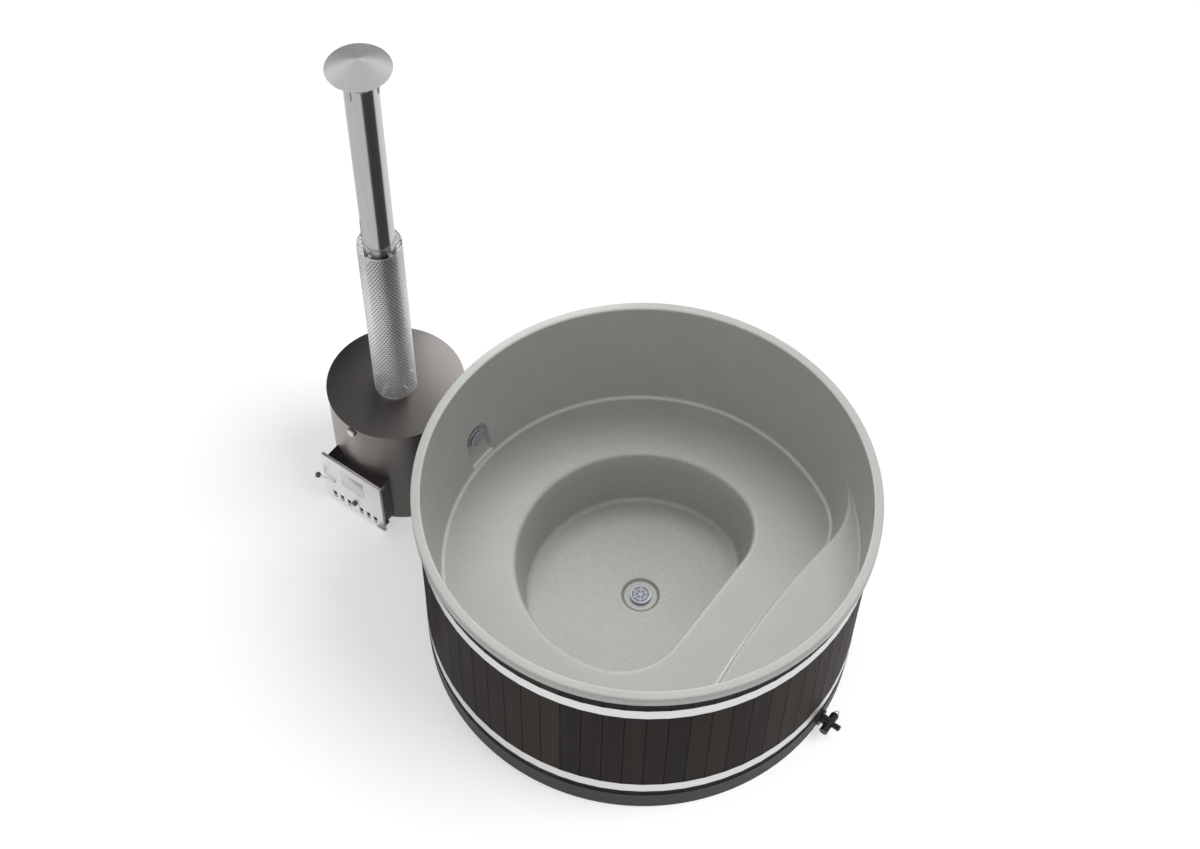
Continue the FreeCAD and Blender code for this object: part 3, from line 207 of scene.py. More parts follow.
# Stove and chimney
STOVE_X = -1196*MM
STOVE_AXIS = Vector((STOVE_X, 0, 0))
FLUE_JOINT = 1425*MM
FLUE_SHEET = 1.0*MM
# Height over which the flue's painted shade inside the guard fades out
GUARD_SHADE_FADE = 30*MM
CHIMNEY_STEPS = 128
CAP_EDGE = 1.5*MM
CAP_TIP = 3*MM
CAP_TIP_DROP = 0.75*MM
CAP_RIM_RISE = 0.54*MM
CAP_LIP = 0.315*MM
CAP_BEAD_RISE = 0.42*MM
CAP_CURL = 0.525*MM
GUARD_COLUMNS = 40
GUARD_WEB = 0.22
GUARD_RIM = 9*MM
GUARD_SHEET = 1.0*MM
GUARD_RIM_SHEET = 1.5*GUARD_SHEET
GUARD_RIM_STEPS = 96

# Stove door
DOOR_FRONT = -314*MM
BALL_RADIUS = 12.5*MM
BALL_STEPS = 32
BALL_CENTRE = Vector((-172, -330, 155))*MM
LEVER_RUN = Vector((-67, -11.8, 0))
KNOB_ROUND = 5*MM
KNOB_ROUND_STEPS = 8
KNOB_STEPS = 64
KNOB_STEM_SHARE = 1/3
KNOB_STANDS_OFF = 1*MM
PLATE_HALF = 58*MM
PLATE_LOW = 164*MM
PLATE_HIGH = 264*MM
PLATE_SHEET = 0.8*MM
PLATE_EASE = 0.3*MM
AIR_HOLES = (-106*MM, -69*MM, -32*MM, 32*MM, 69*MM, 106*MM)
SILL_HALF = 8*MM
SILL_LOW = 41*MM
SILL_HIGH = 47*MM

# Strainers, drawn on Z from the skin that they stand on
GRILLE_LOW = 6*MM
GRILLE_HIGH = 20*MM
GRILLE_REACH = 46*MM
GRILLE_FLANGE = 2.6*MM
GRILLE_FLANGE_EDGE = 1*MM
GRILLE_TOP = 41.5*MM
GRILLE_TOP_SHEET = 2.4*MM
GRILLE_RIM = 7*MM
GRILLE_EDGE = 1.2*MM
GRILLE_CROWN = 0.3*MM
GRILLE_CROWN_RUN = 3*MM
GRILLE_SINK = 1*MM
GRILLE_POSTS = 30
GRILLE_POST = 3.0*MM
GRILLE_POST_BACK = 0.2*MM
GRILLE_POST_LAP = 1*MM
GRILLE_CUP = 36*MM
GRILLE_CUP_WALL = 1*MM
GRILLE_SCREEN = 1*MM
GRILLE_SPOKES = 6
GRILLE_SPOKE = 3.6*MM
GRILLE_SPOKE_EASE = 0.5*MM
GRILLE_HUB = 7*MM
GRILLE_HUB_CROWN = 0.2*MM
GRILLE_RIB = 23*MM
GRILLE_STEPS = 64
FLOOR_SEAT = Vector((0, 0, 117))*MM
WALL_SEAT = Vector((-POCKET_FACE, 0, OUTLET_HEIGHT))

# Pull ring of the drain valve
RING_RADIUS = 8.5*MM
RING_WIRE = 1.6*MM
RING_LEG = 5*MM
RING_SIDES = 16
RING_STEPS = 24

# Widths of the eased edges of CAD nodes, in millimetres
EASED = {
    "hoop_lower": 0.6, "hoop_upper": 0.6, "hoop_bolts": 0.6, "base_ring": 2.5,
    "stove_shell": 0.0, "stove_top": 1.4, "fire_neck": 1.5, "vent_plug": 1.4, "vent_washer": 0.5,
    "hinge_lugs": 0.8, "hinge_pins": 0.5, "door_panel": 1.2, "air_slide": 0.3, "latch_lever": 1.0,
    "valve_gasket": 0.5, "valve_body": 0.7, "valve_cap": 1.8,
    "valve_gland": 1.2, "valve_spool": 0.6, "valve_screws": 0.8,
    "lower_flue": 0.25, "guard_clips": 0.3, "clip_screws": 0.6, "cap_legs": 0.4,
    "hoses": 0.6, "hose_clamps": 0.4, "stove_nipples": 0.4, "flue_collar": 0.4,
}

# Painted shade: darker tints of the sides and the top of these nodes, standing in for shade and dark
# reflections
PAINTED_SHADE_TINTS = {"fire_neck": (-0.45, -0.85), "stove_top": (-0.55, -0.55)}
FACES_UP = 0.9

# Finishes: a band is the stretch of a noise that is used, a pair of tones is dark and light
NOISE_BAND = (0.3, 0.7)
NOISE_DETAIL = 3.0
NOISE_ROUGHNESS = 0.55
SPECKLE = 420.0
SPECKLE_DETAIL = 2.0
STREAK_DETAIL = 4.0
STREAK_ROUGHNESS = 0.6
STREAK_RELIEF = 0.1*MM
MOULDED_CLOUD = 5.0
MOULDED_CONTRAST = 0.10
MOULDED_BAND = (0.6, 1.4)
MOULDED_UNEVEN = 0.10
MOULDED_SPECULAR = 0.5
PEEL_SCALE = 0.6
PEEL_BUMP = 0.12
PEEL_RELIEF = 0.4*MM
METAL_CLOUD = 9.0
METAL_STREAKS = 0.7
METAL_BAND = (0.25, 0.75)
METAL_UNEVEN = 0.20
METAL_BUMP = 0.05
PAINT_CLOUD = 4.0
PAINT_CLOUD_DETAIL = 4.0
PAINT_BAND = (0.35, 0.65)
PAINT_UNEVEN = 0.15
PAINT_BUMP = 0.1
PAINT_RELIEF = 0.2*MM
FLUE_GRAIN = (120.0, 120.0, 3.0)
FLUE_CLEAN = ((0.76, 0.75, 0.74), (0.82, 0.81, 0.80))
# Tones of the pipe inside the guard, a painted shade
FLUE_PAINTED_SHADE = ((0.09, 0.08, 0.074), (0.13, 0.115, 0.105))
FLUE_ROUGHNESS = (0.19, 0.40)
FLUE_STREAKS = 0.03
FLUE_BUMP = 0.01
CAP_TONES = ((0.72, 0.71, 0.70), (0.84, 0.83, 0.82))
CAP_RINGS = 900.0
CAP_CLOUD = 14.0
CAP_RING_SHARE = 0.6
CAP_ROUGHNESS = (0.26, 0.36)
CAP_BUMP = 0.04
CAP_ANISOTROPY = 0.8
STAVE_TONES = [
    (0.30, (0.010, 0.0079, 0.0070)), (0.52, (0.0225, 0.0180, 0.0158)), (0.80, (0.042, 0.034, 0.029)),
]
STAVE_DRAWN = (1.0, 1.0, 0.035)
STAVE_SHIFT = 7.0
STAVE_GRAIN = 190.0
STAVE_GRAIN_DETAIL = 6.0
STAVE_GRAIN_ROUGHNESS = 0.65
STAVE_FIGURE = 34.0
STAVE_GRAIN_SHARE = 0.5
STAVE_FIGURE_SHARE = 0.3
STAVE_OWN_SHARE = 0.35
STAVE_ROUGHNESS = (0.46, 0.62)
STAVE_BUMP = 0.25
STAVE_RELIEF = 0.4*MM
STAVE_SPECULAR = 0.05
BEARER_TONES = ((0.20, 0.13, 0.07), (0.38, 0.27, 0.16))
BEARER_DRAWN = (0.05, 1.0, 1.0)
BEARER_GRAIN = 120.0
BEARER_GRAIN_DETAIL = 6.0
BEARER_ROUGHNESS = 0.75
BEARER_BUMP = 0.4
BEARER_RELIEF = 1.0*MM
ROPE_TONES = ((0.22, 0.20, 0.18), (0.46, 0.44, 0.40))
ROPE_STRANDS = 900.0
ROPE_ROUGHNESS = 0.9
ROPE_BUMP = 0.6
ROPE_RELIEF = 0.8*MM


# Shading
class Value:
    """One socket of a finish, on which arithmetic adds Math nodes."""

    def __init__(self, finish, socket):
        self.finish = finish
        self.socket = socket

    def __add__(self, other):
        return self.finish.maths("ADD", self, other)

    def __radd__(self, other):
        return self.finish.maths("ADD", other, self)

    def __sub__(self, other):
        return self.finish.maths("SUBTRACT", self, other)

    def __rsub__(self, other):
        return self.finish.maths("SUBTRACT", other, self)

    def __mul__(self, other):
        return self.finish.maths("MULTIPLY", self, other)

    def __rmul__(self, other):
        return self.finish.maths("MULTIPLY", other, self)

    def __truediv__(self, other):
        return self.finish.maths("DIVIDE", self, other)

    def __rtruediv__(self, other):
        return self.finish.maths("DIVIDE", other, self)


def socket_of(sockets, key):
    if isinstance(key, int):
        return sockets[key]
    exact = [socket for socket in sockets if socket.identifier == key]
    return exact[0] if exact else sockets[key]


class Finish:
    """The shader of a material or of the world, on Object coordinates."""

    def __init__(self, name, holders=bpy.data.materials):
        self.holder = holders.new(name)
        self.holder.use_nodes = True
        self.tree = self.holder.node_tree
        self.tree.nodes.clear()

    def add(self, kind, settings, sockets, out=0):
        node = self.tree.nodes.new(kind)
        for key, value in settings.items():
            if key == "stops":
                ramp = node.color_ramp
                while len(ramp.elements) < len(value):
                    ramp.elements.new(0.5)
                for element, (place, colour) in zip(ramp.elements, value):
                    element.position = place
                    element.color = (*colour, 1.0)
            else:
                setattr(node, key, value)
        for key, value in sockets.items():
            socket = socket_of(node.inputs, key)
            if isinstance(value, Value):
                self.tree.links.new(value.socket, socket)
            else:
                socket.default_value = value
        return Value(self, socket_of(node.outputs, out)) if len(node.outputs) else None

    def maths(self, operation, first, second=0.0):
        return self.add("ShaderNodeMath", {"operation": operation}, {0: first, 1: second})

    def place(self, stretch=(1.0, 1.0, 1.0)):
        coordinates = self.add("ShaderNodeTexCoord", {}, {}, "Object")
        return self.add("ShaderNodeMapping", {}, {"Vector": coordinates, "Scale": stretch})

    def parts(self, vector):
        node = self.add("ShaderNodeSeparateXYZ", {}, {"Vector": vector}).socket.node
        return [Value(self, socket) for socket in node.outputs]

    def noise(self, vector, scale, detail=NOISE_DETAIL, roughness=NOISE_ROUGHNESS):
        sockets = {"Vector": vector, "Scale": scale, "Detail": detail, "Roughness": roughness}
        return self.add("ShaderNodeTexNoise", {}, sockets, "Fac")

    def streaks(self, grain):
        """Fine lines along the axis on which the grain's scale is lowest."""
        return self.noise(self.place(grain), 1.0, STREAK_DETAIL, STREAK_ROUGHNESS)

    def spread(self, value, low, high, to_low, to_high):
        sockets = {"Value": value, 1: low, 2: high, 3: to_low, 4: to_high}
        return self.add("ShaderNodeMapRange", {}, sockets)

    def share(self, value, band=NOISE_BAND):
        """0 to 1, as a value runs through a band."""
        return self.spread(value, *band, 0.0, 1.0)

    def uneven(self, value, band, middle, part):
        """From a part below a middle to a part above it, as a value runs through a band."""
        return self.spread(value, *band, middle*(1 - part), middle*(1 + part))

    def blend(self, share, first, second, kind="MIX"):
        colours = [colour if isinstance(colour, Value) else (*colour, 1.0) for colour in (first, second)]
        settings = {"data_type": "RGBA", "blend_type": kind}
        sockets = {"Factor_Float": share, "A_Color": colours[0], "B_Color": colours[1]}
        return self.add("ShaderNodeMix", settings, sockets, "Result_Color")

    def dimmed(self, tone, factor):
        """A colour times a number."""
        grey = self.add("ShaderNodeCombineColor", {}, {0: factor, 1: factor, 2: factor})
        return self.blend(1.0, tone, grey, "MULTIPLY")

    def tint(self):
        """The piece's tint of painted light and shade, which is 0 where it has none."""
        return self.add("ShaderNodeAttribute", {"attribute_name": "tint"}, {}, "Fac")

    def bump(self, height, strength, distance):
        sockets = {"Height": height, "Strength": strength, "Distance": distance}
        return self.add("ShaderNodeBump", {}, sockets, "Normal")

    def shade(self, **sockets):
        named = {key.replace("_", " "): value for key, value in sockets.items()}
        return self.end(self.add("ShaderNodeBsdfPrincipled", {}, named))

    def end(self, shader, kind="ShaderNodeOutputMaterial"):
        self.add(kind, {}, {"Surface": shader})
        return self.holder

    def shown(self):
        """1 for what the camera sees, straight on or in a mirror or a glass, else 0."""
        paths = self.add("ShaderNodeLightPath", {}, {}).socket.node.outputs
        names = ("Is Camera Ray", "Is Glossy Ray", "Is Transmission Ray")
        straight, mirrored, through = [Value(self, paths[name]) for name in names]
        return self.maths("MINIMUM", straight + mirrored + through, 1.0)


def moulded(name, colour, shade, roughness, speckle=SPECKLE, contrast=MOULDED_CONTRAST,
            specular=MOULDED_SPECULAR):
    """Moulded plastic or rubber: clouded tone, fine speckle and a slight orange peel."""
    finish = Finish(name)
    place = finish.place()
    cloud = finish.noise(place, MOULDED_CLOUD)
    speck = finish.noise(place, speckle, SPECKLE_DETAIL)
    tone = finish.blend(finish.share(cloud), shade, colour)
    fine = finish.uneven(speck, NOISE_BAND, 1.0, contrast)
    # The tint attribute brings in the liner's painted highlights and painted shade.
    tone = finish.dimmed(tone, fine*(1.0 + finish.tint()))
    rough = finish.uneven(speck + cloud, MOULDED_BAND, roughness, MOULDED_UNEVEN)
    normal = finish.bump(finish.noise(place, speckle*PEEL_SCALE), PEEL_BUMP, PEEL_RELIEF)
    return finish.shade(Base_Color=tone, Roughness=rough, Normal=normal, Specular_IOR_Level=specular)


def metal(name, colour, shade, roughness, grain):
    """Brushed or polished metal: streaks along the way the grain is drawn out, with faint clouds."""
    finish = Finish(name)
    streak = finish.streaks(grain)
    cloud = finish.noise(finish.place(), METAL_CLOUD)
    share = finish.share(streak*METAL_STREAKS + cloud*(1 - METAL_STREAKS))
    tone = finish.blend(share, shade, colour)
    rough = finish.uneven(streak, METAL_BAND, roughness, METAL_UNEVEN)
    normal = finish.bump(streak, METAL_BUMP, STREAK_RELIEF)
    return finish.shade(Base_Color=tone, Metallic=1.0, Roughness=rough, Normal=normal)


def painted(name, colour, shade, roughness, metallic, bump=PAINT_BUMP):
    """Satin paint or cast iron: fine grit, faint clouds of tone and gloss."""
    finish = Finish(name)
    place = finish.place()
    cloud = finish.noise(place, PAINT_CLOUD, PAINT_CLOUD_DETAIL)
    grit = finish.noise(place, SPECKLE, SPECKLE_DETAIL)
    mixed = cloud*0.5 + grit*0.5
    tone = finish.blend(finish.share(mixed, PAINT_BAND), shade, colour)
    # The tint attribute brings in the painted shade of the stove's top and neck.
    tone = finish.dimmed(tone, 1.0 + finish.tint())
    rough = finish.uneven(mixed, NOISE_BAND, roughness, PAINT_UNEVEN)
    normal = finish.bump(grit, bump, PAINT_RELIEF)
    return finish.shade(Base_Color=tone, Metallic=metallic, Roughness=rough, Normal=normal)


def flue_finish():
    """Polished pipe with fine lines along it, rougher and painted dark brown inside the guard, a painted
    shade.
    """
    finish = Finish("flue_steel")
    height = finish.parts(finish.place())[2]
    # The pipe inside the guard is painted dark, a painted shade, and is rougher there.
    inside_guard = finish.spread(height, FLUE_JOINT - GUARD_SHADE_FADE, FLUE_JOINT, 1.0, 0.0)
    streak = finish.streaks(FLUE_GRAIN)
    share = finish.share(streak)
    clean = finish.blend(share, *FLUE_CLEAN)
    painted_shade_tone = finish.blend(share, *FLUE_PAINTED_SHADE)
    tone = finish.blend(inside_guard, clean, painted_shade_tone)
    rough = finish.spread(inside_guard, 0.0, 1.0, *FLUE_ROUGHNESS) + streak*FLUE_STREAKS
    normal = finish.bump(streak, FLUE_BUMP, STREAK_RELIEF)
    return finish.shade(Base_Color=tone, Metallic=1.0, Roughness=rough, Normal=normal)


def spun_finish():
    """Metal spun on a lathe: fine rings about the chimney's axis."""
    finish = Finish("cap_steel")
    east, north = finish.parts(finish.place())[:2]
    out = east - STOVE_X
    reach = finish.maths("SQRT", out*out + north*north)
    ring = finish.noise(finish.add("ShaderNodeCombineXYZ", {}, {0: reach}), CAP_RINGS)
    cloud = finish.noise(finish.place(), CAP_CLOUD)
    share = finish.share(ring*CAP_RING_SHARE + cloud*(1 - CAP_RING_SHARE))
    tone = finish.blend(share, *CAP_TONES)
    rough = finish.spread(ring, *NOISE_BAND, *CAP_ROUGHNESS)
    normal = finish.bump(ring, CAP_BUMP, STREAK_RELIEF)
    return finish.shade(Base_Color=tone, Metallic=1.0, Roughness=rough, Normal=normal,
                        Anisotropic=CAP_ANISOTROPY)


def stave_finish():
    """Dark stained boards, each with its own tone, with grain drawn out along the height."""
    finish = Finish("stave_wood")
    east, north = finish.parts(finish.place())[:2]
    angle = finish.maths("ARCTAN2", north, east)
    count = angle/(FULL_TURN/STAVE_COUNT) + (STAVE_COUNT + 0.5 - STAVE_PHASE)
    board = finish.maths("FLOORED_MODULO", finish.maths("FLOOR", count), float(STAVE_COUNT))
    own = finish.add("ShaderNodeTexWhiteNoise", {"noise_dimensions": "1D"}, {"W": board + 0.5}, "Value")
    shift = finish.add("ShaderNodeCombineXYZ", {}, {2: own*STAVE_SHIFT})
    along = finish.place(STAVE_DRAWN)
    drawn = finish.add("ShaderNodeVectorMath", {"operation": "ADD"}, {0: along, 1: shift})
    grain = finish.noise(drawn, STAVE_GRAIN, STAVE_GRAIN_DETAIL, STAVE_GRAIN_ROUGHNESS)
    figure = finish.noise(drawn, STAVE_FIGURE)
    mixed = grain*STAVE_GRAIN_SHARE + figure*STAVE_FIGURE_SHARE + own*STAVE_OWN_SHARE
    tone = finish.add("ShaderNodeValToRGB", {"stops": STAVE_TONES}, {"Fac": mixed}, "Color")
    rough = finish.spread(grain, *NOISE_BAND, *STAVE_ROUGHNESS)
    normal = finish.bump(grain, STAVE_BUMP, STAVE_RELIEF)
    return finish.shade(Base_Color=tone, Roughness=rough, Normal=normal, Specular_IOR_Level=STAVE_SPECULAR)


def timber_finish():
    """Sawn pale bearers."""
    finish = Finish("bearer_wood")
    grain = finish.noise(finish.place(BEARER_DRAWN), BEARER_GRAIN, BEARER_GRAIN_DETAIL)
    tone = finish.blend(finish.share(grain), *BEARER_TONES)
    normal = finish.bump(grain, BEARER_BUMP, BEARER_RELIEF)
    return finish.shade(Base_Color=tone, Roughness=BEARER_ROUGHNESS, Normal=normal)


def rope_finish():
    """Braided glass rope: two crossing sets of strands."""
    finish = Finish("seal_rope")
    east, _, height = finish.parts(finish.place())
    rising = finish.maths("SINE", (east + height)*ROPE_STRANDS)
    falling = finish.maths("SINE", (east - height)*ROPE_STRANDS)
    wave = rising*falling
    tone = finish.blend(finish.share(wave, (-1.0, 1.0)), *ROPE_TONES)
    normal = finish.bump(wave, ROPE_BUMP, ROPE_RELIEF)
    return finish.shade(Base_Color=tone, Roughness=ROPE_ROUGHNESS, Normal=normal)


# The finish of each material slot: light and dark tone, roughness, and the grain's scales on a metal
FINISHES = {
    "liner": moulded(
        "liner", (0.458, 0.470, 0.447), (0.435, 0.447, 0.425), 0.36, speckle=230.0, contrast=0.14),
    "stave_wood": stave_finish(),
    "hoop_steel": metal("hoop_steel", (0.73, 0.725, 0.72), (0.66, 0.655, 0.65), 0.42, (30.0, 30.0, 900.0)),
    "fastener_steel": metal(
        "fastener_steel", (0.78, 0.77, 0.75), (0.64, 0.63, 0.62), 0.36, (160.0, 160.0, 160.0)),
    "dark_fastener": painted(
        "dark_fastener", (0.020, 0.019, 0.018), (0.012, 0.012, 0.012), 0.4, metallic=0.5),
    "base_plastic": moulded(
        "base_plastic", (0.044, 0.039, 0.038), (0.034, 0.030, 0.029), 0.5, speckle=300.0, specular=0.2),
    "bearer_wood": timber_finish(),
    "fitting_plastic": moulded("fitting_plastic", (0.25, 0.25, 0.27), (0.20, 0.20, 0.22), 0.45),
    "pipe_plastic": moulded("pipe_plastic", (0.26, 0.26, 0.26), (0.22, 0.22, 0.22), 0.4),
    "strainer_metal": painted(
        "strainer_metal", (0.56, 0.575, 0.65), (0.42, 0.435, 0.51), 0.28, metallic=0.35, bump=0.05),
    "rubber": moulded("rubber", (0.032, 0.031, 0.030), (0.022, 0.022, 0.022), 0.7),
    "valve_gasket_rubber": moulded("valve_gasket_rubber", (0.06, 0.075, 0.11), (0.045, 0.055, 0.08), 0.55),
    "valve_plastic": moulded(
        "valve_plastic", (0.014, 0.013, 0.012), (0.009, 0.009, 0.008), 0.30, specular=0.35),
    "copper_wire": metal("copper_wire", (0.66, 0.30, 0.11), (0.52, 0.22, 0.08), 0.34, (700.0, 700.0, 700.0)),
    "stove_paint": painted(
        "stove_paint", (0.375, 0.352, 0.338), (0.345, 0.325, 0.312), 0.42, metallic=1.0, bump=0.05),
    "stove_steel": painted(
        "stove_steel", (0.13, 0.122, 0.115), (0.08, 0.074, 0.07), 0.55, metallic=0.6, bump=0.3),
    "grate_iron": painted(
        "grate_iron", (0.06, 0.056, 0.053), (0.035, 0.033, 0.032), 0.65, metallic=0.5, bump=0.5),
    "door_steel": metal("door_steel", (0.88, 0.86, 0.855), (0.80, 0.785, 0.78), 0.40, (14.0, 500.0, 900.0)),
    "seal_rope": rope_finish(),
    "knob_plastic": moulded(
        "knob_plastic", (0.034, 0.029, 0.027), (0.024, 0.021, 0.020), 0.16, specular=1.0),
    "flue_steel": flue_finish(),
    "guard_steel": metal("guard_steel", (0.92, 0.915, 0.905), (0.84, 0.835, 0.825), 0.50, (90.0, 90.0, 9.0)),
    "cap_steel": spun_finish(),
}


# Pieces
def slot_of(node):
    return next(part["material_slot"] for part in frame["record"]["subparts"] if part["node"] == node)


def body_of(node):
    return frame["nodes"][node]["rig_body"]


def piece(name, shape, slot, body, replaced=(), sharp=SHARP_ANGLE):
    mesh = bpy.data.meshes.new(name)
    shape.to_mesh(mesh)
    shape.free()
    for face in mesh.polygons:
        face.use_smooth = True
    mesh.set_sharp_from_angle(angle=math.radians(sharp))
    mesh.materials.append(FINISHES[slot])
    made = bpy.data.objects.new(name, mesh)
    bpy.context.scene.collection.objects.link(made)
    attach(made, body)
    if replaced:
        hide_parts(*replaced)
    return made


def for_node(name, shape, node, sharp=SHARP_ANGLE):
    return piece(name, shape, slot_of(node), body_of(node), (node,), sharp)


def level_faces(made):
    """Keeps broad faces level in the shading, so that only the eased edges look round."""
    weighted = made.modifiers.new("level_faces", "WEIGHTED_NORMAL")
    weighted.keep_sharp = True
    return made


def merged(node):
    """A copy of a CAD node's mesh, with its loose triangles joined to whole faces."""
    shape = bmesh.new()
    shape.from_mesh(frame["nodes"][node].data)
    bmesh.ops.remove_doubles(shape, verts=shape.verts, dist=MERGE)
    flat = math.radians(FLAT_ANGLE)
    bmesh.ops.dissolve_limit(shape, angle_limit=flat, verts=shape.verts, edges=shape.edges)
    return shape


def ease_edges(shape, width, steps=EASED_EDGE_STEPS):
    least = math.radians(EASED_ANGLE)
    sharp = [edge for edge in shape.edges if edge.is_manifold and edge.calc_face_angle() > least]
    bmesh.ops.bevel(shape, geom=sharp, offset=width, offset_type="OFFSET", affect="EDGES", segments=steps,
                    profile=0.5, material=-1, clamp_overlap=True)


def eased_copy(node, width):
    """A CAD node with eased edges, and with painted shade where it has any."""
    shape = merged(node)
    if width:
        ease_edges(shape, width)
    # Painted shade: the tints darken these nodes, the faces that point up as set apart.
    if node in PAINTED_SHADE_TINTS:
        tints = shape.verts.layers.float.new("tint")
        shape.normal_update()
        sides, top = PAINTED_SHADE_TINTS[node]
        for vert in shape.verts:
            vert[tints] = top if vert.normal.z > FACES_UP else sides
    return level_faces(for_node(node + "_eased", shape, node))


def everything(shape):
    return shape.verts[:] + shape.edges[:] + shape.faces[:]


def verts_of(parts):
    return [part for part in parts if isinstance(part, bmesh.types.BMVert)]


def ring_of(shape, points):
    corners = [shape.verts.new(point) for point in points]
    return [shape.edges.new((corners[k - 1], corners[k])) for k in range(len(corners))]


def turned(profile, steps, axis=UP, centre=ORIGIN):
    """A closed run of (radius, height) points turned about an axis."""
    shape = bmesh.new()
    ring_of(shape, [Vector((radius, 0, height)) for radius, height in profile])
    bmesh.ops.spin(shape, geom=everything(shape), cent=ORIGIN, axis=UP, angle=FULL_TURN, steps=steps,
                   use_merge=True)
    bmesh.ops.remove_doubles(shape, verts=shape.verts, dist=MERGE)
    loose = [edge for edge in shape.edges if not edge.link_faces]
    bmesh.ops.delete(shape, geom=loose, context="EDGES")
    bmesh.ops.recalc_face_normals(shape, faces=shape.faces)
    turn = UP.rotation_difference(axis).to_matrix().to_4x4()
    bmesh.ops.transform(shape, matrix=Matrix.Translation(centre) @ turn, verts=shape.verts)
    return shape


def block(low, high):
    shape = bmesh.new()
    bmesh.ops.create_cube(shape, size=1.0)
    for vert in shape.verts:
        vert.co = Vector([(low[k] + high[k])/2 + vert.co[k]*(high[k] - low[k]) for k in range(3)])
    return shape


def repeated(shape, count):
    """Copies a shape evenly round the Z axis."""
    bmesh.ops.spin(shape, geom=everything(shape), cent=ORIGIN, axis=UP, angle=FULL_TURN*(count - 1)/count,
                   steps=count - 1, use_duplicate=True)
    return shape


def copied(shape, geometry, moves):
    """Adds a copy of some geometry of a shape at each of several moves."""
    for move in moves:
        copy = bmesh.ops.duplicate(shape, geom=geometry)["geom"]
        bmesh.ops.translate(shape, verts=verts_of(copy), vec=move)


def joined(shapes, places):
    """One shape of several, set in each of some places."""
    whole = bmesh.new()
    for shape in shapes:
        mesh = bpy.data.meshes.new("joined")
        shape.to_mesh(mesh)
        shape.free()
        for place in places:
            copy = mesh.copy()
            copy.transform(place)
            whole.from_mesh(copy)
            bpy.data.meshes.remove(copy)
        bpy.data.meshes.remove(mesh)
    return whole


# Liner
def hit(run, centre, radius, side):
    """Distance along a run from the tub's axis to a circle, on its far side (1) or near side (-1)."""
    along = run.dot(centre)
    return along + side*math.sqrt(along**2 - centre.length_squared + radius**2)


def bay_reach(size, spread, angle):
    """Distance from the tub's axis to the outline of a round bay that is cut by a bowed edge."""
    radius, edge, corner, bow = size
    reach = radius - corner
    bow_x = edge + bow
    corner_x = (reach**2 - (bow + corner)**2 + bow_x**2)/(2*bow_x)
    centre = Vector((corner_x, math.sqrt(reach**2 - corner_x**2)))
    bow_centre = Vector((bow_x, 0))
    on_edge = centre + (bow_centre - centre).normalized()*(corner + spread)
    turn = abs(angle)
    run = Vector((math.cos(turn), math.sin(turn)))
    if turn >= math.atan2(centre.y, centre.x):
        return radius + spread
    if turn >= math.atan2(on_edge.y, on_edge.x):
        return hit(run, centre, corner + spread, 1)
    return hit(run, bow_centre, bow - spread, -1)


def wall_spread(height):
    """How far the wall stands out from the bench's outline, a gentle curve from the seat to the rim."""
    share = (height - SEAT_HEIGHT)/(RIM_HEIGHT - SEAT_HEIGHT)
    middle = (STEP_HEIGHT - SEAT_HEIGHT)/(RIM_HEIGHT - SEAT_HEIGHT)
    rise = RIM_INNER - BENCH[0] + BENCH_DRAFT
    bend = (rise*middle - BENCH_DRAFT - WALL_SWELL)/(middle - middle**2)
    return -BENCH_DRAFT + (rise - bend)*share + bend*share**2


def eased(before, corner, after, size, steps=EASE_STEPS):
    """The points of a rounded corner, from size before it to size after it."""
    first = corner + (before - corner).normalized()*size
    last = corner + (after - corner).normalized()*size
    shares = [k/steps for k in range(steps + 1)]
    return [first*(1 - t)**2 + corner*(2*t*(1 - t)) + last*t**2 for t in shares]


def between(first, last, count):
    return [first.lerp(last, k/(count + 1)) for k in range(1, count + 1)]


def tinted(points, start=0.0, middle=0.0, end=0.0):
    """Gives each point a tint of painted light and shade, which runs from the start over the middle to the
    end.
    """
    pairs = []
    for count, point in enumerate(points):
        share = 2*count/max(len(points) - 1, 1)
        tint = start + (middle - start)*share if share < 1 else middle + (end - middle)*(share - 1)
        pairs.append((point, tint))
    return pairs


def clamped(share):
    return min(max(share, 0.0), 1.0)


def fade(value, low, high):
    share = clamped((value - low)/(high - low))
    return share*share*(3 - 2*share)


def wall_levels():
    """Heights of the bench wall's rings, close together so that the wall pocket's arch comes out round."""
    low = POCKET_LOW - 2*POCKET_GRID
    count = math.ceil((OUTLET_HEIGHT + POCKET_HALF - low)/POCKET_GRID) + 2
    return [low + k*POCKET_GRID for k in range(count)]


def upper_levels():
    """Heights of the rings between the step and the rim."""
    low = STEP_HEIGHT + 2*STEP_FOOT_EASE
    high = RIM_HEIGHT - 2*RIM_ROUND
    return [low + (high - low)*k/(UPPER_RINGS - 1) for k in range(UPPER_RINGS)]


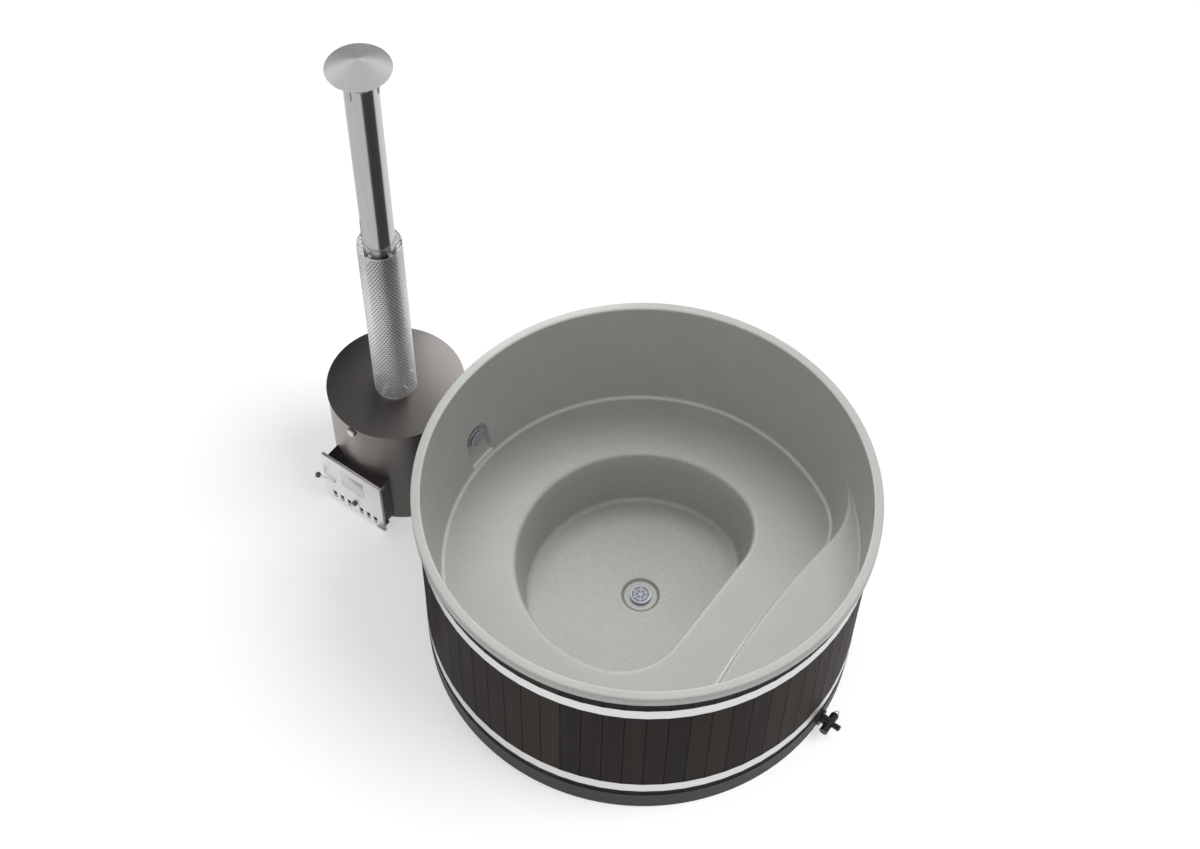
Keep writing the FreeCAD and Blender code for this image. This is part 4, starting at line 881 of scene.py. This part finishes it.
def liner_column(angle):
    """The liner's inner skin at an angle: points of reach and height with tints of painted light and shade,
    from drain to rim edge.
    """
    recess_floor = FLOOR_HEIGHT - RECESS_DEPTH
    drain = Vector((DRAIN_HOLE, recess_floor))
    recess_foot = Vector((RECESS_RADIUS - RECESS_SLOPE, recess_floor))
    recess_edge = Vector((RECESS_RADIUS, FLOOR_HEIGHT))
    well_foot = Vector((bay_reach(WELL, -WELL_DRAFT, angle), FLOOR_HEIGHT))
    well_edge = Vector((bay_reach(WELL, 0.0, angle), SEAT_HEIGHT))
    seat_back = Vector((bay_reach(BENCH, wall_spread(SEAT_HEIGHT), angle), SEAT_HEIGHT))
    swell = wall_spread(STEP_HEIGHT)
    step_edge = Vector((bay_reach(BENCH, swell, angle), STEP_HEIGHT))
    step_back = Vector((BENCH[0] + swell, STEP_HEIGHT))
    rim_in = Vector((RIM_INNER, RIM_HEIGHT))
    rim_out = Vector((RIM_RADIUS, RIM_HEIGHT))
    skirt = Vector((RIM_RADIUS, RIM_HEIGHT - RIM_DROP))

    def wall(height):
        return Vector((bay_reach(BENCH, wall_spread(height), angle), height))

    def upper(height):
        return Vector((BENCH[0] + wall_spread(height), height))

    width = step_back.x - step_edge.x
    edge_ease = min(EDGE_EASE, STEP_EDGE_SHARE*width)
    foot_ease = min(STEP_FOOT_EASE, STEP_FOOT_SHARE*width)
    sink = eased(drain, recess_foot, recess_edge, RECESS_EASE, RECESS_STEPS)
    rounding = eased(recess_foot, recess_edge, well_foot, RECESS_EASE, RECESS_STEPS)
    foot = eased(recess_edge, well_foot, well_edge, FLOOR_EASE)
    edge = eased(well_foot, well_edge, seat_back, EDGE_EASE)
    back = eased(well_edge, seat_back, wall(SEAT_HEIGHT + SEAT_EASE), SEAT_EASE)
    # Painted shade in the recess and the well, painted highlights along the well's edge and the seat's back.
    points = tinted([drain] + between(drain, recess_foot, RECESS_RINGS))
    points += tinted(sink, 0.0, RECESS_PAINTED_SHADE, RECESS_PAINTED_SHADE)
    points += tinted(rounding, RECESS_PAINTED_SHADE, RECESS_PAINTED_SHADE)
    points += tinted(between(rounding[-1], foot[0], FLOOR_RINGS))
    points += tinted(foot, 0.0, 0.0, WELL_PAINTED_SHADE)
    points += tinted(between(foot[-1], edge[0], WELL_RINGS), WELL_PAINTED_SHADE, WELL_PAINTED_SHADE, WELL_PAINTED_SHADE)
    points += tinted(edge, 0.0, WELL_EDGE_PAINTED_HIGHLIGHT)
    points += tinted(between(edge[-1], back[0], SEAT_RINGS))
    points += tinted(back, 0.0, SEAT_PAINTED_HIGHLIGHT)

    top = STEP_HEIGHT - edge_ease
    below = wall(STEP_HEIGHT - max(edge_ease, MM))
    lip = eased(below, step_edge, step_back, edge_ease)
    shelf = eased(step_edge, step_back, upper(STEP_HEIGHT + MM), foot_ease, STEP_FOOT_STEPS)
    points += tinted([wall(min(max(level, back[-1].y), top)) for level in wall_levels()])
    points += tinted(lip + between(lip[-1], shelf[0], STEP_RINGS) + shelf)
    points += tinted([upper(level) for level in upper_levels()])

    # The rim is painted lighter, a painted light, with a painted highlight along its inner edge.
    rim = eased(upper(RIM_HEIGHT - RIM_ROUND), rim_in, rim_out, RIM_ROUND)
    groove = RIM_HEIGHT - GROOVE_DROP
    outside = eased(rim_in, rim_out, skirt, RIM_OUTER_ROUND)
    outside += [Vector((RIM_RADIUS, groove + GROOVE)), Vector((RIM_RADIUS - GROOVE, groove)),
                Vector((RIM_RADIUS, groove - GROOVE)), skirt]
    points += tinted(rim, 0.0, RIM_PAINTED_HIGHLIGHT, RIM_PAINTED_LIGHT)
    return points + tinted(outside, RIM_PAINTED_LIGHT, RIM_PAINTED_LIGHT, RIM_PAINTED_LIGHT)


def column_angles():
    """Even angles round the tub, with closer ones across the wall pocket."""
    even = [-math.pi + FULL_TURN*(k + 0.5)/LINER_COLUMNS for k in range(LINER_COLUMNS)]
    reach = math.asin((POCKET_HALF + POCKET_GRID)/POCKET_FACE)
    kept = [angle for angle in even if math.pi - abs(angle) > reach]
    count = math.ceil(2*reach*POCKET_FACE/POCKET_GRID)
    pocket = [math.pi - reach + 2*reach*k/count for k in range(count + 1)]
    return kept + pocket


def pocketed(point):
    """Moves a point of the bench wall out to the face of the arched pocket round the wall outlet."""
    if point.x > 0 or abs(point.y) > POCKET_HALF or point.z < POCKET_LOW:
        return point
    above = point.z - OUTLET_HEIGHT
    inside = POCKET_HALF - (math.hypot(point.y, above) if above > 0 else abs(point.y))
    share = fade(min(inside, point.z - POCKET_LOW + POCKET_EDGE/2), 0.0, POCKET_EDGE)
    ledge = BENCH[0] - BENCH_DRAFT + POCKET_LEDGE
    slope_top = OUTLET_HEIGHT - POCKET_HALF
    lean = clamped((slope_top - point.z)/(slope_top - POCKET_LOW))
    face = POCKET_FACE + (ledge - POCKET_FACE)*lean
    return point + Vector((min(-face - point.x, 0.0)*share, 0, 0))


def liner_skin():
    """One skin of quads between neighbouring columns, whose points close up where the step runs out."""
    shape = bmesh.new()
    tints = shape.verts.layers.float.new("tint")
    columns = []
    for angle in column_angles():
        along = Vector((math.cos(angle), math.sin(angle), 0))
        column = []
        for (reach, height), tint in liner_column(angle):
            point = along*reach + Vector((0, 0, height))
            vert = shape.verts.new(pocketed(point))
            moved = (vert.co - point).length
            # The pocket's ledge gets a painted highlight.
            vert[tints] = LEDGE_PAINTED_HIGHLIGHT if moved and height < POCKET_LOW + POCKET_EDGE else tint
            column.append(vert)
        columns.append(column)
    for left, right in zip(columns, columns[1:] + columns[:1]):
        for k in range(1, len(left)):
            shape.faces.new((left[k - 1], left[k], right[k], right[k - 1]))
    bmesh.ops.remove_doubles(shape, verts=shape.verts, dist=SKIN_MERGE)
    skin = for_node("liner_skin", shape, "tub_liner", SOFT_ANGLE)
    wall = skin.modifiers.new("wall", "SOLIDIFY")
    wall.thickness = LINER_WALL
    wall.offset = -1.0


# Staves
def stave_boards():
    """One board with eased edges, copied round the tub."""
    low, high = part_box("staves")
    half = math.tan(math.pi/STAVE_COUNT)
    shape = bmesh.new()
    sides = [(STAVE_INNER, STAVE_INNER*half + STAVE_LAP), (STAVE_OUTER, STAVE_OUTER*half - STAVE_GAP/2)]
    outline = [(reach, -side) for reach, side in sides] + [(reach, side) for reach, side in reversed(sides)]
    face = shape.faces.new([shape.verts.new((x, y, low.z)) for x, y in outline])
    grown = bmesh.ops.extrude_face_region(shape, geom=[face])["geom"]
    bmesh.ops.translate(shape, verts=verts_of(grown), vec=Vector((0, 0, high.z - low.z)))
    bmesh.ops.recalc_face_normals(shape, faces=shape.faces)
    ease_edges(shape, STAVE_EASE, STAVE_EASE_STEPS)
    first = Matrix.Rotation(STAVE_PHASE*FULL_TURN/STAVE_COUNT, 3, "Z")
    bmesh.ops.rotate(shape, verts=shape.verts, cent=ORIGIN, matrix=first)
    level_faces(for_node("stave_boards", repeated(shape, STAVE_COUNT), "staves"))


# Strainers
def strainers():
    """Both strainers: a flange, a wall of posts with slots between them and a spoked top over a screen."""
    low, high, reach, top = GRILLE_LOW, GRILLE_HIGH, GRILLE_REACH, GRILLE_TOP
    under = high - GRILLE_TOP_SHEET
    sunk = high - GRILLE_SINK
    inner = top - GRILLE_RIM
    flange_top = low + GRILLE_FLANGE
    rib_in = GRILLE_RIB - GRILLE_SPOKE/2
    rib_out = GRILLE_RIB + GRILLE_SPOKE/2
    flange = [(inner, low), (reach, low), (reach, flange_top - GRILLE_FLANGE_EDGE),
              (reach - GRILLE_FLANGE_EDGE, flange_top), (inner, flange_top)]
    rim = [(inner, under), (top, under), (top, high - GRILLE_EDGE), (top - GRILLE_EDGE, high - GRILLE_CROWN),
           (top - GRILLE_CROWN_RUN, high), (inner, sunk)]
    rib = [(rib_in, under), (rib_out, under), (rib_out, sunk), (rib_in, sunk)]
    hub = [(0, under), (GRILLE_HUB, under), (GRILLE_HUB, sunk), (GRILLE_HUB/2, high - GRILLE_HUB_CROWN),
           (0, high)]
    rings = [turned(profile, GRILLE_STEPS) for profile in (flange, rim, rib, hub)]
    post = block((top - GRILLE_POST, -GRILLE_POST/2, low + GRILLE_FLANGE/2),
                 (top - GRILLE_POST_BACK, GRILLE_POST/2, under + GRILLE_POST_LAP))
    spoke = block((GRILLE_HUB/2, -GRILLE_SPOKE/2, under),
                  (top - GRILLE_RIM/2, GRILLE_SPOKE/2, high - GRILLE_EDGE))
    ease_edges(spoke, GRILLE_SPOKE_EASE)
    upright = Matrix.Rotation(math.pi/2, 4, "Y")
    seats = [Matrix.Translation(FLOOR_SEAT), Matrix.Translation(WALL_SEAT) @ upright]
    grilles = joined(rings + [repeated(post, GRILLE_POSTS), repeated(spoke, GRILLE_SPOKES)], seats)
    for_node("strainer_grilles", grilles, "strainer_covers")
    back = under - GRILLE_SCREEN
    screen = turned([(0, back), (GRILLE_CUP, back), (GRILLE_CUP, under), (0, under)], GRILLE_STEPS)
    piece("strainer_screens", joined([screen], seats), "fitting_plastic", "tub")
    # A dark rubber cup behind the posts, a dark sheet that paints the shade in the slots.
    bore = GRILLE_CUP - GRILLE_CUP_WALL
    cup = turned([(bore, low), (GRILLE_CUP, low), (GRILLE_CUP, back), (bore, back)], GRILLE_STEPS)
    piece("strainer_shade_cups", joined([cup], seats), "rubber", "tub")


# Chimney
def flue_pipe():
    low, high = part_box("upper_flue")
    reach = (high.x - low.x)/2
    bore = reach - FLUE_SHEET
    profile = [(reach, low.z), (reach, high.z), (bore, high.z), (bore, low.z)]
    for_node("flue_pipe", turned(profile, CHIMNEY_STEPS, centre=STOVE_AXIS), "upper_flue")


def perforated_guard():
    """A flat sheet of hexagon cells with a hole in each, rolled to a pipe, with a plain band at each end."""
    low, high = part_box("chimney_guard")
    radius = (high.x - low.x)/2
    centre = (low + high)/2
    pitch = FULL_TURN*radius/GUARD_COLUMNS
    corner = pitch/math.sqrt(3)
    rise = 1.5*corner
    rows = int((high.z - low.z - 2*GUARD_RIM)/rise)
    shape = bmesh.new()
    turns = [math.pi/6 + FULL_TURN*k/6 for k in range(6)]
    hexagon = shape.faces.new([shape.verts.new((corner*math.cos(t), corner*math.sin(t), 0)) for t in turns])
    hexagon.normal_update()
    bmesh.ops.inset_individual(shape, faces=[hexagon], thickness=GUARD_WEB*pitch)
    bmesh.ops.delete(shape, geom=[hexagon], context="FACES")
    copied(shape, everything(shape), [Vector((k*pitch, 0, 0)) for k in range(1, GUARD_COLUMNS)])
    bmesh.ops.remove_doubles(shape, verts=shape.verts, dist=SKIN_MERGE)
    copied(shape, everything(shape), [Vector((k % 2*pitch/2, k*rise, 0)) for k in range(1, rows)])
    bottom = low.z + (high.z - low.z - (rows - 1)*rise)/2
    for vert in shape.verts:
        turn = vert.co.x/radius
        vert.co = Vector((centre.x + radius*math.cos(turn), radius*math.sin(turn), bottom + vert.co.y))
    bmesh.ops.remove_doubles(shape, verts=shape.verts, dist=SKIN_MERGE)
    bmesh.ops.recalc_face_normals(shape, faces=shape.faces)
    bmesh.ops.solidify(shape, geom=shape.faces[:], thickness=GUARD_SHEET)
    sheet = for_node("guard_sheet", shape, "chimney_guard")
    sheet.visible_glossy = False
    bore = radius - GUARD_RIM_SHEET
    for name, start in (("guard_rim_low", low.z), ("guard_rim_high", high.z - GUARD_RIM)):
        end = start + GUARD_RIM
        profile = [(radius, start), (radius, end), (bore, end), (bore, start)]
        band = turned(profile, GUARD_RIM_STEPS, centre=Vector((centre.x, 0, 0)))
        piece(name, band, "guard_steel", "tub")


def rain_cap():
    """The spun cone with a beaded rim."""
    low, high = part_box("rain_cap")
    reach = (high.x - low.x)/2
    rim = low.z + CAP_EDGE
    profile = [(0, high.z), (CAP_TIP, high.z - CAP_TIP_DROP), (reach - CAP_EDGE, rim + CAP_RIM_RISE),
               (reach - CAP_LIP, rim), (reach, rim - CAP_LIP), (reach, low.z + CAP_BEAD_RISE),
               (reach - CAP_CURL, low.z), (reach - 3*CAP_CURL, low.z + CAP_CURL), (0, high.z - CAP_EDGE)]
    for_node("spun_cap", turned(profile, CHIMNEY_STEPS, centre=STOVE_AXIS), "rain_cap")


# Stove door
def lever_ball():
    turns = [-math.pi/2 + math.pi*k/BALL_STEPS for k in range(BALL_STEPS + 1)]
    profile = [(BALL_RADIUS*math.cos(t), BALL_RADIUS*math.sin(t)) for t in turns]
    ball = turned(profile, BALL_STEPS, LEVER_RUN, STOVE_AXIS + BALL_CENTRE)
    for_node("lever_ball", ball, "latch_ball", ROUND_ANGLE)


def round_knob():
    """A knob with rounded edges on a stem."""
    low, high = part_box("slide_knob")
    reach = (high.x - low.x)/2
    stem = reach*KNOB_STEM_SHARE
    length = high.y - low.y
    foot = length - (DOOR_FRONT - low.y) + KNOB_STANDS_OFF
    turns = [math.pi/2*k/KNOB_ROUND_STEPS for k in range(KNOB_ROUND_STEPS + 1)]
    rounds = [(KNOB_ROUND*(1 - math.cos(t)), KNOB_ROUND*(1 - math.sin(t))) for t in turns]
    back = [(reach - drop, foot + inset) for inset, drop in rounds]
    front = [(reach - inset, length - drop) for inset, drop in rounds]
    profile = [(0, 0), (stem, 0), (stem, foot)] + back + front + [(0, length)]
    seat = Vector(((low.x + high.x)/2, high.y, (low.z + high.z)/2))
    for_node("round_knob", turned(profile, KNOB_STEPS, Vector((0, -1, 0)), seat), "slide_knob", SOFT_ANGLE)


def bare_plate():
    plate = block((STOVE_X - PLATE_HALF, DOOR_FRONT - PLATE_SHEET, PLATE_LOW),
                  (STOVE_X + PLATE_HALF, DOOR_FRONT, PLATE_HIGH))
    ease_edges(plate, PLATE_EASE)
    piece("bare_plate", plate, "fastener_steel", body_of("door_panel"))


def air_sills():
    """A strip of sheet on the slide, which shows low in each air hole."""
    low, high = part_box("air_slide")
    for count, place in enumerate(AIR_HOLES, 1):
        middle = STOVE_X + place
        sill = block((middle - SILL_HALF, low.y, SILL_LOW), (middle + SILL_HALF, high.y, SILL_HIGH))
        piece("air_sill_%d" % count, sill, "door_steel", body_of("air_slide"))


# Drain valve
def wire_ring():
    """A round wire bent to a bow with two straight legs, on an axle."""
    low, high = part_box("pull_ring")
    middle = (low + high)/2
    foot = Vector((middle.x, low.y + RING_WIRE, middle.z))
    bend = foot + Vector((0, RING_LEG, 0))
    shape = bmesh.new()
    turns = [FULL_TURN*k/RING_SIDES for k in range(RING_SIDES)]
    corners = [Vector((RING_RADIUS + RING_WIRE*math.cos(t), 0, RING_WIRE*math.sin(t))) for t in turns]
    section = ring_of(shape, [foot + corner for corner in corners])
    for move in ("leg", "bow", "leg_back"):
        if move == "bow":
            grown = bmesh.ops.spin(shape, geom=section, cent=bend, axis=UP, angle=math.pi,
                                   steps=RING_STEPS)["geom_last"]
        else:
            grown = bmesh.ops.extrude_edge_only(shape, edges=section)["geom"]
            away = RING_LEG if move == "leg" else -RING_LEG
            bmesh.ops.translate(shape, verts=verts_of(grown), vec=Vector((0, away, 0)))
        edges = [part for part in grown if isinstance(part, bmesh.types.BMEdge)]
        section = [edge for edge in edges if len(edge.link_faces) < 2]
    bmesh.ops.holes_fill(shape, edges=shape.edges, sides=RING_SIDES)
    bmesh.ops.recalc_face_normals(shape, faces=shape.faces)
    for_node("wire_bow", shape, "pull_ring", ROUND_ANGLE)
    reach = RING_RADIUS + RING_WIRE
    profile = [(0, -reach), (RING_WIRE, -reach), (RING_WIRE, reach), (0, reach)]
    axle = turned(profile, RING_SIDES, Vector((1, 0, 0)), foot)
    piece("wire_axle", axle, "copper_wire", body_of("pull_ring"))


# Floor, light and camera
def stage_mesh(name, shape, material):
    mesh = bpy.data.meshes.new(name)
    shape.to_mesh(mesh)
    shape.free()
    mesh.materials.append(material)
    made = bpy.data.objects.new(name, mesh)
    bpy.context.scene.collection.objects.link(made)
    return made


def floor():
    finish = Finish("floor")
    cloud = finish.noise(finish.place(), FLOOR_CLOUD)
    tone = finish.blend(cloud, (FLOOR_TONE,)*3, (FLOOR_CLOUD_TONE,)*3)
    matt = finish.add("ShaderNodeBsdfDiffuse", {}, {"Color": tone})
    glow = finish.add("ShaderNodeEmission", {}, {"Strength": finish.shown()*FLOOR_GLOW})
    shape = bmesh.new()
    bmesh.ops.create_grid(shape, x_segments=1, y_segments=1, size=FLOOR_SIZE/2)
    bmesh.ops.translate(shape, verts=shape.verts, vec=-UP*FLOOR_DROP)
    return stage_mesh("floor", shape, finish.end(finish.add("ShaderNodeAddShader", {}, {0: matt, 1: glow})))


def sky():
    """A plain world that lights softly and looks white."""
    finish = Finish("studio", bpy.data.worlds)
    lit = finish.add("ShaderNodeBackground", {}, {"Color": WHITE, "Strength": SKY_LIGHT})
    seen = finish.add("ShaderNodeBackground", {}, {"Color": WHITE})
    both = finish.add("ShaderNodeMixShader", {}, {0: finish.shown(), 1: lit, 2: seen})
    bpy.context.scene.world = finish.end(both, "ShaderNodeOutputWorld")


def lamp(name, strength, width, source, ground, for_ground):
    """A wide soft sun, either for the floor alone or for all but the floor."""
    sun = bpy.data.lights.new(name, "SUN")
    sun.energy = strength
    sun.angle = width
    made = bpy.data.objects.new(name, sun)
    made.rotation_euler = source.to_track_quat("Z", "Y").to_euler()
    made.visible_glossy = False
    bpy.context.scene.collection.objects.link(made)
    lit = bpy.data.collections.new(name + "_falls_on")
    lit.objects.link(ground)
    lit.collection_objects[0].light_linking.link_state = "INCLUDE" if for_ground else "EXCLUDE"
    made.light_linking.receiver_collection = lit


def card(name, shape, strength):
    """A card that only reflections show."""
    finish = Finish(name)
    made = stage_mesh(name, shape, finish.end(finish.add("ShaderNodeEmission", {}, {"Strength": strength})))
    made.visible_camera = False
    made.visible_diffuse = False
    made.visible_transmission = False
    made.visible_shadow = False


def bent_card(name, ends, start, end, strength):
    """A card swept round the stove's axis from its two ends at the start, in degrees."""
    shape = bmesh.new()
    turn = Matrix.Rotation(math.radians(start), 3, "Z")
    corners = [shape.verts.new(STOVE_AXIS + turn @ Vector((reach, 0, level))) for reach, level in ends]
    edge = shape.edges.new(corners)
    bmesh.ops.spin(shape, geom=corners + [edge], cent=STOVE_AXIS, axis=UP,
                   angle=math.radians(end - start), steps=CARD_STEPS)
    card(name, shape, strength)


def round_card(name, centre, facing, radius, strength):
    shape = bmesh.new()
    turn = facing.to_track_quat("Z", "Y").to_matrix().to_4x4()
    bmesh.ops.create_circle(shape, cap_ends=True, radius=radius, segments=2*CARD_STEPS,
                            matrix=Matrix.Translation(centre) @ turn)
    card(name, shape, strength)


def cards():
    """Dark, grey and bright cards round the stove, which the polished metal reflects."""
    for name, (start, end, bottom, strength) in CHIMNEY_CARDS.items():
        bent_card(name, [(CARD_RADIUS, bottom), (CARD_RADIUS, CARD_HIGH)], start, end, strength)
    for name, (inner, start, end, strength) in GROUND_CARDS.items():
        ends = [(inner, GROUND_CARD_LIFT), (GROUND_CARD_OUTER, GROUND_CARD_LIFT)]
        bent_card(name, ends, start, end, strength)
    away = (STOVE_AXIS - Vector((EYE.x, EYE.y, 0))).normalized()
    across = Vector((away.y, -away.x, 0))
    for name, (left, right, bottom, top, strength) in BACK_CARDS.items():
        shape = bmesh.new()
        behind = STOVE_AXIS + away*BACK_CARDS_AWAY
        corners = [(left, bottom), (right, bottom), (right, top), (left, top)]
        shape.faces.new([shape.verts.new(behind + across*side + UP*level) for side, level in corners])
        card(name, shape, strength)
    round_card("top_card", STOVE_AXIS + UP*TOP_CARD_HEIGHT, -UP, TOP_CARD_RADIUS, TOP_CARD_LIGHT)
    round_card("soft_box", SOFT_BOX, -SOFT_BOX, SOFT_BOX_RADIUS, SOFT_BOX_LIGHT)


def camera():
    ahead = AHEAD.normalized()
    level = LEVEL.normalized()
    up = level.cross(ahead)
    right = level*math.cos(ROLL) + up*math.sin(ROLL)
    top = up*math.cos(ROLL) - level*math.sin(ROLL)
    data = bpy.data.cameras.new("camera")
    data.sensor_fit = "HORIZONTAL"
    data.sensor_width = FILM_WIDTH
    data.lens = FILM_WIDTH*LENS_IN_PIXELS/IMAGE_WIDTH
    data.clip_end = FAR_CLIP
    eye = bpy.data.objects.new("camera", data)
    eye.matrix_world = Matrix.Translation(EYE) @ Matrix((right, top, -ahead)).transposed().to_4x4()
    bpy.context.scene.collection.objects.link(eye)
    bpy.context.scene.camera = eye


for node, made in frame["nodes"].items():
    made.data.materials.clear()
    made.data.materials.append(FINISHES[slot_of(node)])
liner_skin()
stave_boards()
strainers()
flue_pipe()
perforated_guard()
rain_cap()
lever_ball()
round_knob()
bare_plate()
air_sills()
wire_ring()
for node, width in EASED.items():
    eased_copy(node, width*MM)
ground = floor()
sky()
lamp("key", KEY_LIGHT, KEY_WIDTH, KEY_FROM, ground, False)
lamp("floor_light", FLOOR_LIGHT, FLOOR_LIGHT_WIDTH, FLOOR_LIGHT_FROM, ground, True)
cards()
camera()
bpy.context.scene.view_settings.view_transform = "Standard"
